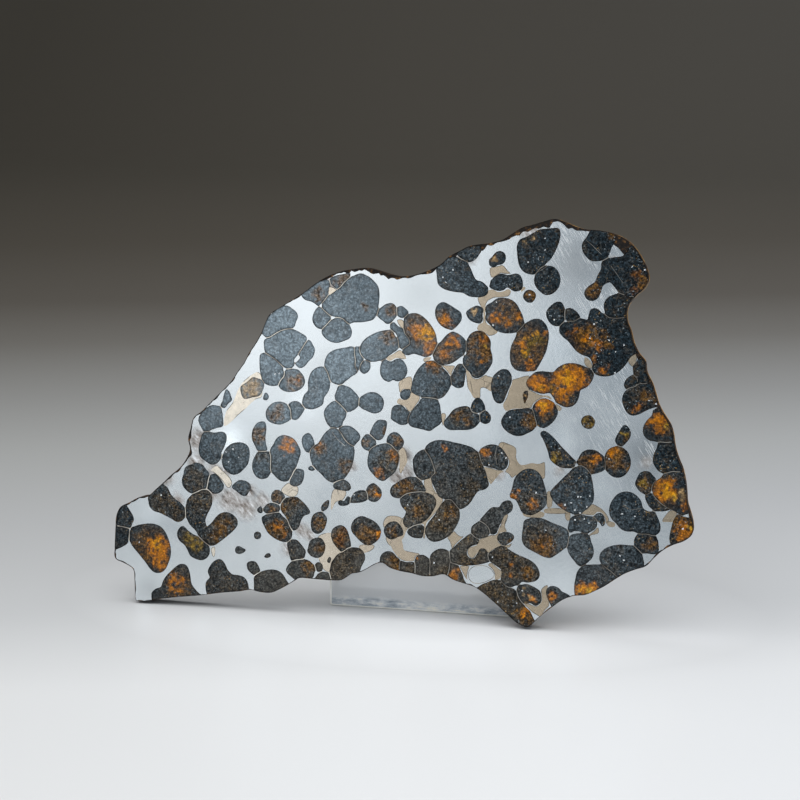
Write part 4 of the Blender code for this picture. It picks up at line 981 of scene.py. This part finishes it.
def crust_look():
    """Fusion crust along the natural edge: black, with rusty and pale grains."""
    look = Look("fusion_crust", Specular_IOR_Level=0.15)
    colour = look.ramp(look.noise(1.3, 5.0, 0.7), (0.34, (0.006, 0.006, 0.006)),
                       (0.52, (0.016, 0.012, 0.010)), (0.59, (0.07, 0.036, 0.015)),
                       (0.65, (0.26, 0.12, 0.03)), (0.72, (0.40, 0.32, 0.24)))
    look.bump(look.noise(1.3, 6.0, 0.7), 0.00022, 0.9)
    return look.feed(Base_Color=colour, Roughness=look.ramp(look.noise(1.8), (0.3, 0.42), (0.7, 0.75)))


def olivine_look(name, clear):
    """Olivine: its kept colour and painted sheen, with rust, dark depths, grain, cracks and flecks, some of
    them painted glints, weaker where it is even.
    """
    look = Look(name, IOR=1.67, Transmission_Weight=clear, Specular_IOR_Level=0.05)
    kept = look.kept("Tint")
    tint_and_sheen_colour, even = kept["Color"], kept["Alpha"]
    calm = look.ramp(even, (0.0, 1.0), (0.8, 0.42))
    plain = look.ramp(even, (0.0, 1.0), (0.6, 0.15))
    rust = look.ramp(look.noise(0.85, 6.0, 0.74, distortion=0.6), (0.48, 0.0), (0.60, 0.9))
    rusty = look.ramp(look.noise(0.13, 2.0), (0.42, 0.12), (0.60, 1.0))
    colour = look.mix(look.times(rust, rusty, calm), tint_and_sheen_colour, look.mix(0.40, tint_and_sheen_colour, (0.17, 0.094, 0.026)))
    dark = look.ramp(look.noise(1.5, 5.0, 0.70, distortion=0.8), (0.43, 0.94), (0.51, 0.0))
    colour = look.mix(look.times(dark, calm), colour, look.mix(0.12, (0.0045, 0.0075, 0.0090), tint_and_sheen_colour))
    grain = look.noise(3.0, 4.0, 0.72, distortion=0.3)
    colour = look.times(colour, look.mix(calm, (1.0, 1.0, 1.0), look.ramp(
        grain, (0.34, 0.14), (0.46, 0.54), (0.53, 1.05), (0.65, 2.7))))
    thin = look.ramp(look.noise(0.5), (0.52, 0.0), (0.62, 0.5))
    cracks = look.times(look.cracks(640.0, 0.045), thin, plain)
    colour = look.mix(cracks, colour, (0.14, 0.13, 0.11))
    # flecks: painted glints, small specks of light, some tinted orange
    flecks = look.ramp(look.noise(3.2, 2.0, 0.5), (0.63, 0.0), (0.70, 1.0))
    where = look.ramp(look.noise(0.25), (0.42, 0.05), (0.60, 0.9))
    hue = look.ramp(look.noise(0.9, 2.0), (0.46, (0.42, 0.50, 0.54)), (0.56, (0.50, 0.29, 0.08)))
    look.bump(look.mix(0.4, look.noise(0.9, 4.0), cracks), 0.00004, 0.45)
    return look.feed(Base_Color=look.mix(look.times(flecks, where, plain), colour, hue),
                     Roughness=look.ramp(grain, (0.3, 0.10), (0.7, 0.26)))


def glint_look():
    """A fracture inside a crystal that catches the light."""
    look = Look("olivine_glint", IOR=1.67, Roughness=0.25)
    return look.feed(Base_Color=look.ramp(look.noise(3.0), (0.3, (0.45, 0.47, 0.50)),
                                          (0.6, (0.92, 0.94, 0.95))))


def acrylic_look():
    """Clear, a little milky, and at its foot less clear, with painted streaks of light and shade where light
    gathers.
    """
    look = Look("clear_acrylic_polished", IOR=1.49)
    # painted light at the foot: blue-grey and cream streaks and less transmission, standing in for what the
    # foot refracts
    height = look.scaled_sum(look.noise(0.20), 0.0012, look.axes()[2])
    share = look.between(height, 0.0, 0.0050)
    painted_foot_streaks = look.ramp(look.noise(0.7, 5.0, 0.7, (3.0, 1.0, 1.0)), (0.36, (0.26, 0.30, 0.34)),
                        (0.46, (0.46, 0.50, 0.54)), (0.56, (0.76, 0.77, 0.76)), (0.66, (0.98, 0.93, 0.82)))
    look.bump(look.noise(0.25, 2.0), 0.00001, 0.2)
    return look.feed(
        Base_Color=look.mix(look.ramp(share, (0.40, 1.0), (0.56, 0.0)), (0.97, 0.98, 0.985), painted_foot_streaks),
        Transmission_Weight=look.ramp(share, (0.40, 0.08), (0.56, 0.44)),
        Roughness=look.ramp(look.noise(0.3), (0.4, 0.02), (0.7, 0.07)))


def edge_highlight_look():
    """The block's rounded edges, painted pale cream as the highlight that light draws along them."""
    look = Look("painted_edge_highlight", Roughness=0.35)
    return look.feed(Base_Color=look.ramp(look.noise(0.6, 4.0, 0.65), (0.36, (0.86, 0.83, 0.76)),
                                          (0.62, (0.99, 0.97, 0.92))))


def floor_look():
    """Pale in front of the slice; behind it the sweep darkens backwards, a little sooner at the left, as
    painted falloff of the light; a painted pool of light round the slice lifts its shade.
    """
    look = Look("studio_floor", Roughness=0.32, Specular_IOR_Level=0.3)
    x, y, _ = look.axes()
    aside = look.scaled_sum(y, 0.214, x)
    share = look.between(look.scaled_sum(aside, -0.28, y), -0.10, 0.90)
    # painted light: darker at the left, brighter and bluer at the right
    right = look.between(aside, -0.30, 0.30)
    # a painted pool of light round the slice, lifting the shade under and behind it
    around = look.stretched((0.063, 0.036, 1.0), (0.0, 0.004, 0.0))
    near = look.node("ShaderNodeTexGradient", {"Vector": around}, gradient_type="SPHERICAL")["Fac"]
    return look.feed(Base_Color=look.times(
        look.ramp(share, *FLOOR),
        look.ramp(right, (0.0, (0.70, 0.69, 0.66)), (0.5, 1.0), (1.0, (1.12, 1.14, 1.18))),
        look.ramp(near, (0.0, 1.0), (0.40, 1.28))))


OLIVINE = {slot: olivine_look(f"{slot}_polished", clear) for slot, clear in CLEARNESS.items()}
GLINT, VEIN_LOOK = glint_look(), vein_look()
SLOTS = {part["node"]: part["material_slot"] for part in frame["record"]["subparts"]}

flat, triangles, owner, slot = sheet()

# The metal web
web, places = solid("metal_web", owner == 0, 0.0, ON_CRUST, WALL_ROWS)
for look in (metal_look(), beige_look(), crust_look(), seam_look(), rim_look(), VEIN_LOOK):
    web.data.materials.append(look)
middles, radii = places_and(STAINS)
away = np.linalg.norm(places[:, None, :] - middles[None, :, :], axis=2) / (radii * PIXEL)
keep(web.data, "Stain", np.clip(STAIN_SLOPE * (STAIN_END - away.min(axis=1)), 0.0, 1.0))
# painted reflection: the metal's colour made brighter or duller by place, standing in for its reflection of
# the lights
painted_reflection = np.ones(len(places))
for middle, radius, share in zip(*places_and(PAINTED_REFLECTION, 4)):
    away = np.linalg.norm(places - middle, axis=1) / (radius * PIXEL)
    painted_reflection *= 1.0 + (share - 1.0) * np.exp(-away ** 2)
keep(web.data, "PaintedReflection", painted_reflection, 1.0)
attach(web, "root")
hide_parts("metal_matrix")

# The crystals
spots = []
for tone, run in BLOTCHES:
    spots += [(linear(TONES[tone]), middle, radius * PIXEL) for middle, radius in zip(*places_and(run))]
loose = {}
for i, (name, ring) in enumerate(crystals.items()):
    mine = owner == i + 1
    places = flat[np.unique(triangles[mine])]
    gap = nearest(places, ring)[0]
    swell = np.array([wobble(x, y, SWELL_NOISE, i * 3.1) for x, y in places]) * SWELL
    piece, _ = solid(name, mine, np.interp(gap, *SINK) + swell, ON_CRYSTAL)
    own = [spot for spot in spots if inside(spot[1][None, :], ring)[0]]
    # each crystal's own colour with the painted sheen of light on it
    keep(piece.data, "Tint", tint_and_sheen(places, gap, own, i))
    tone = SLOTS.get(name, "olivine_slate")
    if name in small and any(radius > AMBER_RADIUS and colour[0] > AMBER_RED for colour, _, radius in own):
        tone = "olivine_amber"
    for look in (OLIVINE[tone], GLINT, VEIN_LOOK):
        piece.data.materials.append(look)
    if name in large:
        piece.name = name.replace("olivine_", "crystal_")
        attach(piece, "root")
        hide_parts(name)
    else:
        loose.setdefault((name.rsplit("_", 1)[0], tone), []).append(piece)
for (region, tone), group in loose.items():
    with bpy.context.temp_override(active_object=group[0], selected_editable_objects=group):
        bpy.ops.object.join()
    group[0].name = f"small_crystals_{region}_{tone.split('_')[1]}"
    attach(group[0], "root")


def acrylic_block():
    """The clear block with its edges rounded, in the solid's own box."""
    low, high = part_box("acrylic_stand")
    mesh = bpy.data.meshes.new("acrylic_block")
    form = bmesh.new()
    bmesh.ops.create_cube(form, size=1.0)
    bmesh.ops.scale(form, vec=high - low, verts=form.verts)
    bmesh.ops.translate(form, verts=form.verts, vec=(low + high) / 2)
    bmesh.ops.bevel(form, geom=form.edges[:], offset=BEVEL, segments=3, profile=0.5, affect="EDGES")
    for face in form.faces:
        face.material_index = 1 if max(abs(value) for value in face.normal) < 0.999 else 0
    form.to_mesh(mesh)
    form.free()
    mesh.materials.append(acrylic_look())
    mesh.materials.append(edge_highlight_look())
    piece = bpy.data.objects.new("acrylic_block", mesh)
    bpy.context.scene.collection.objects.link(piece)
    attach(piece, "root")
    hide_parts("acrylic_stand")


def studio():
    """The floor with its sweep, the sky, the lights and the camera."""
    scene = bpy.context.scene
    scene.view_settings.view_transform = "Standard"
    mesh = bpy.data.meshes.new("floor")
    side = [(-FLOOR_SIDE, 0.0)]
    for a in (math.radians(90.0 * i / 32) for i in range(33)):
        side.append((SWEEP_FROM + SWEEP_RADIUS * math.sin(a), SWEEP_RADIUS - SWEEP_RADIUS * math.cos(a)))
    side.append((SWEEP_FROM + SWEEP_RADIUS, WALL_TOP))
    mesh.from_pydata([(x, y, z) for y, z in side for x in (-FLOOR_SIDE, FLOOR_SIDE)], [],
                     [(2 * i, 2 * i + 1, 2 * i + 3, 2 * i + 2) for i in range(len(side) - 1)])
    mesh.polygons.foreach_set("use_smooth", [True] * len(mesh.polygons))
    mesh.materials.append(floor_look())
    floor = bpy.data.objects.new("floor", mesh)
    scene.collection.objects.link(floor)
    scene.world = bpy.data.worlds.new("studio")
    scene.world.use_nodes = True
    sky = scene.world.node_tree.nodes["Background"].inputs
    sky["Color"].default_value = (0.86, 0.97, 1.08, 1.0)
    sky["Strength"].default_value = 0.42
    for name, azimuth, elevation, distance, width, height, radiance in SOFTBOXES:
        way = towards(math.radians(azimuth), math.radians(elevation))
        data = bpy.data.lights.new(name, "AREA")
        data.shape, data.size, data.size_y = "RECTANGLE", width, height
        data.energy = radiance * math.pi * width * height
        light = bpy.data.objects.new(name, data)
        light.location = Vector((0.0, 0.0, 0.03)) + way * distance
        light.rotation_mode = "QUATERNION"
        light.rotation_quaternion = way.to_track_quat("Z", "Y")
        scene.collection.objects.link(light)
    data = bpy.data.cameras.new("camera")
    data.sensor_width, data.lens = SENSOR, SENSOR * VIEW_FOCAL / (2 * VIEW_CENTRE)
    data.clip_start, data.clip_end = 0.01, 20.0
    camera = bpy.data.objects.new("camera", data)
    camera.matrix_world = Matrix.Translation(VIEW_FROM) @ Matrix((RIGHT, ABOVE, BACK)).transposed().to_4x4()
    scene.collection.objects.link(camera)
    scene.camera = camera


acrylic_block()
studio()
bpy.context.view_layer.update()
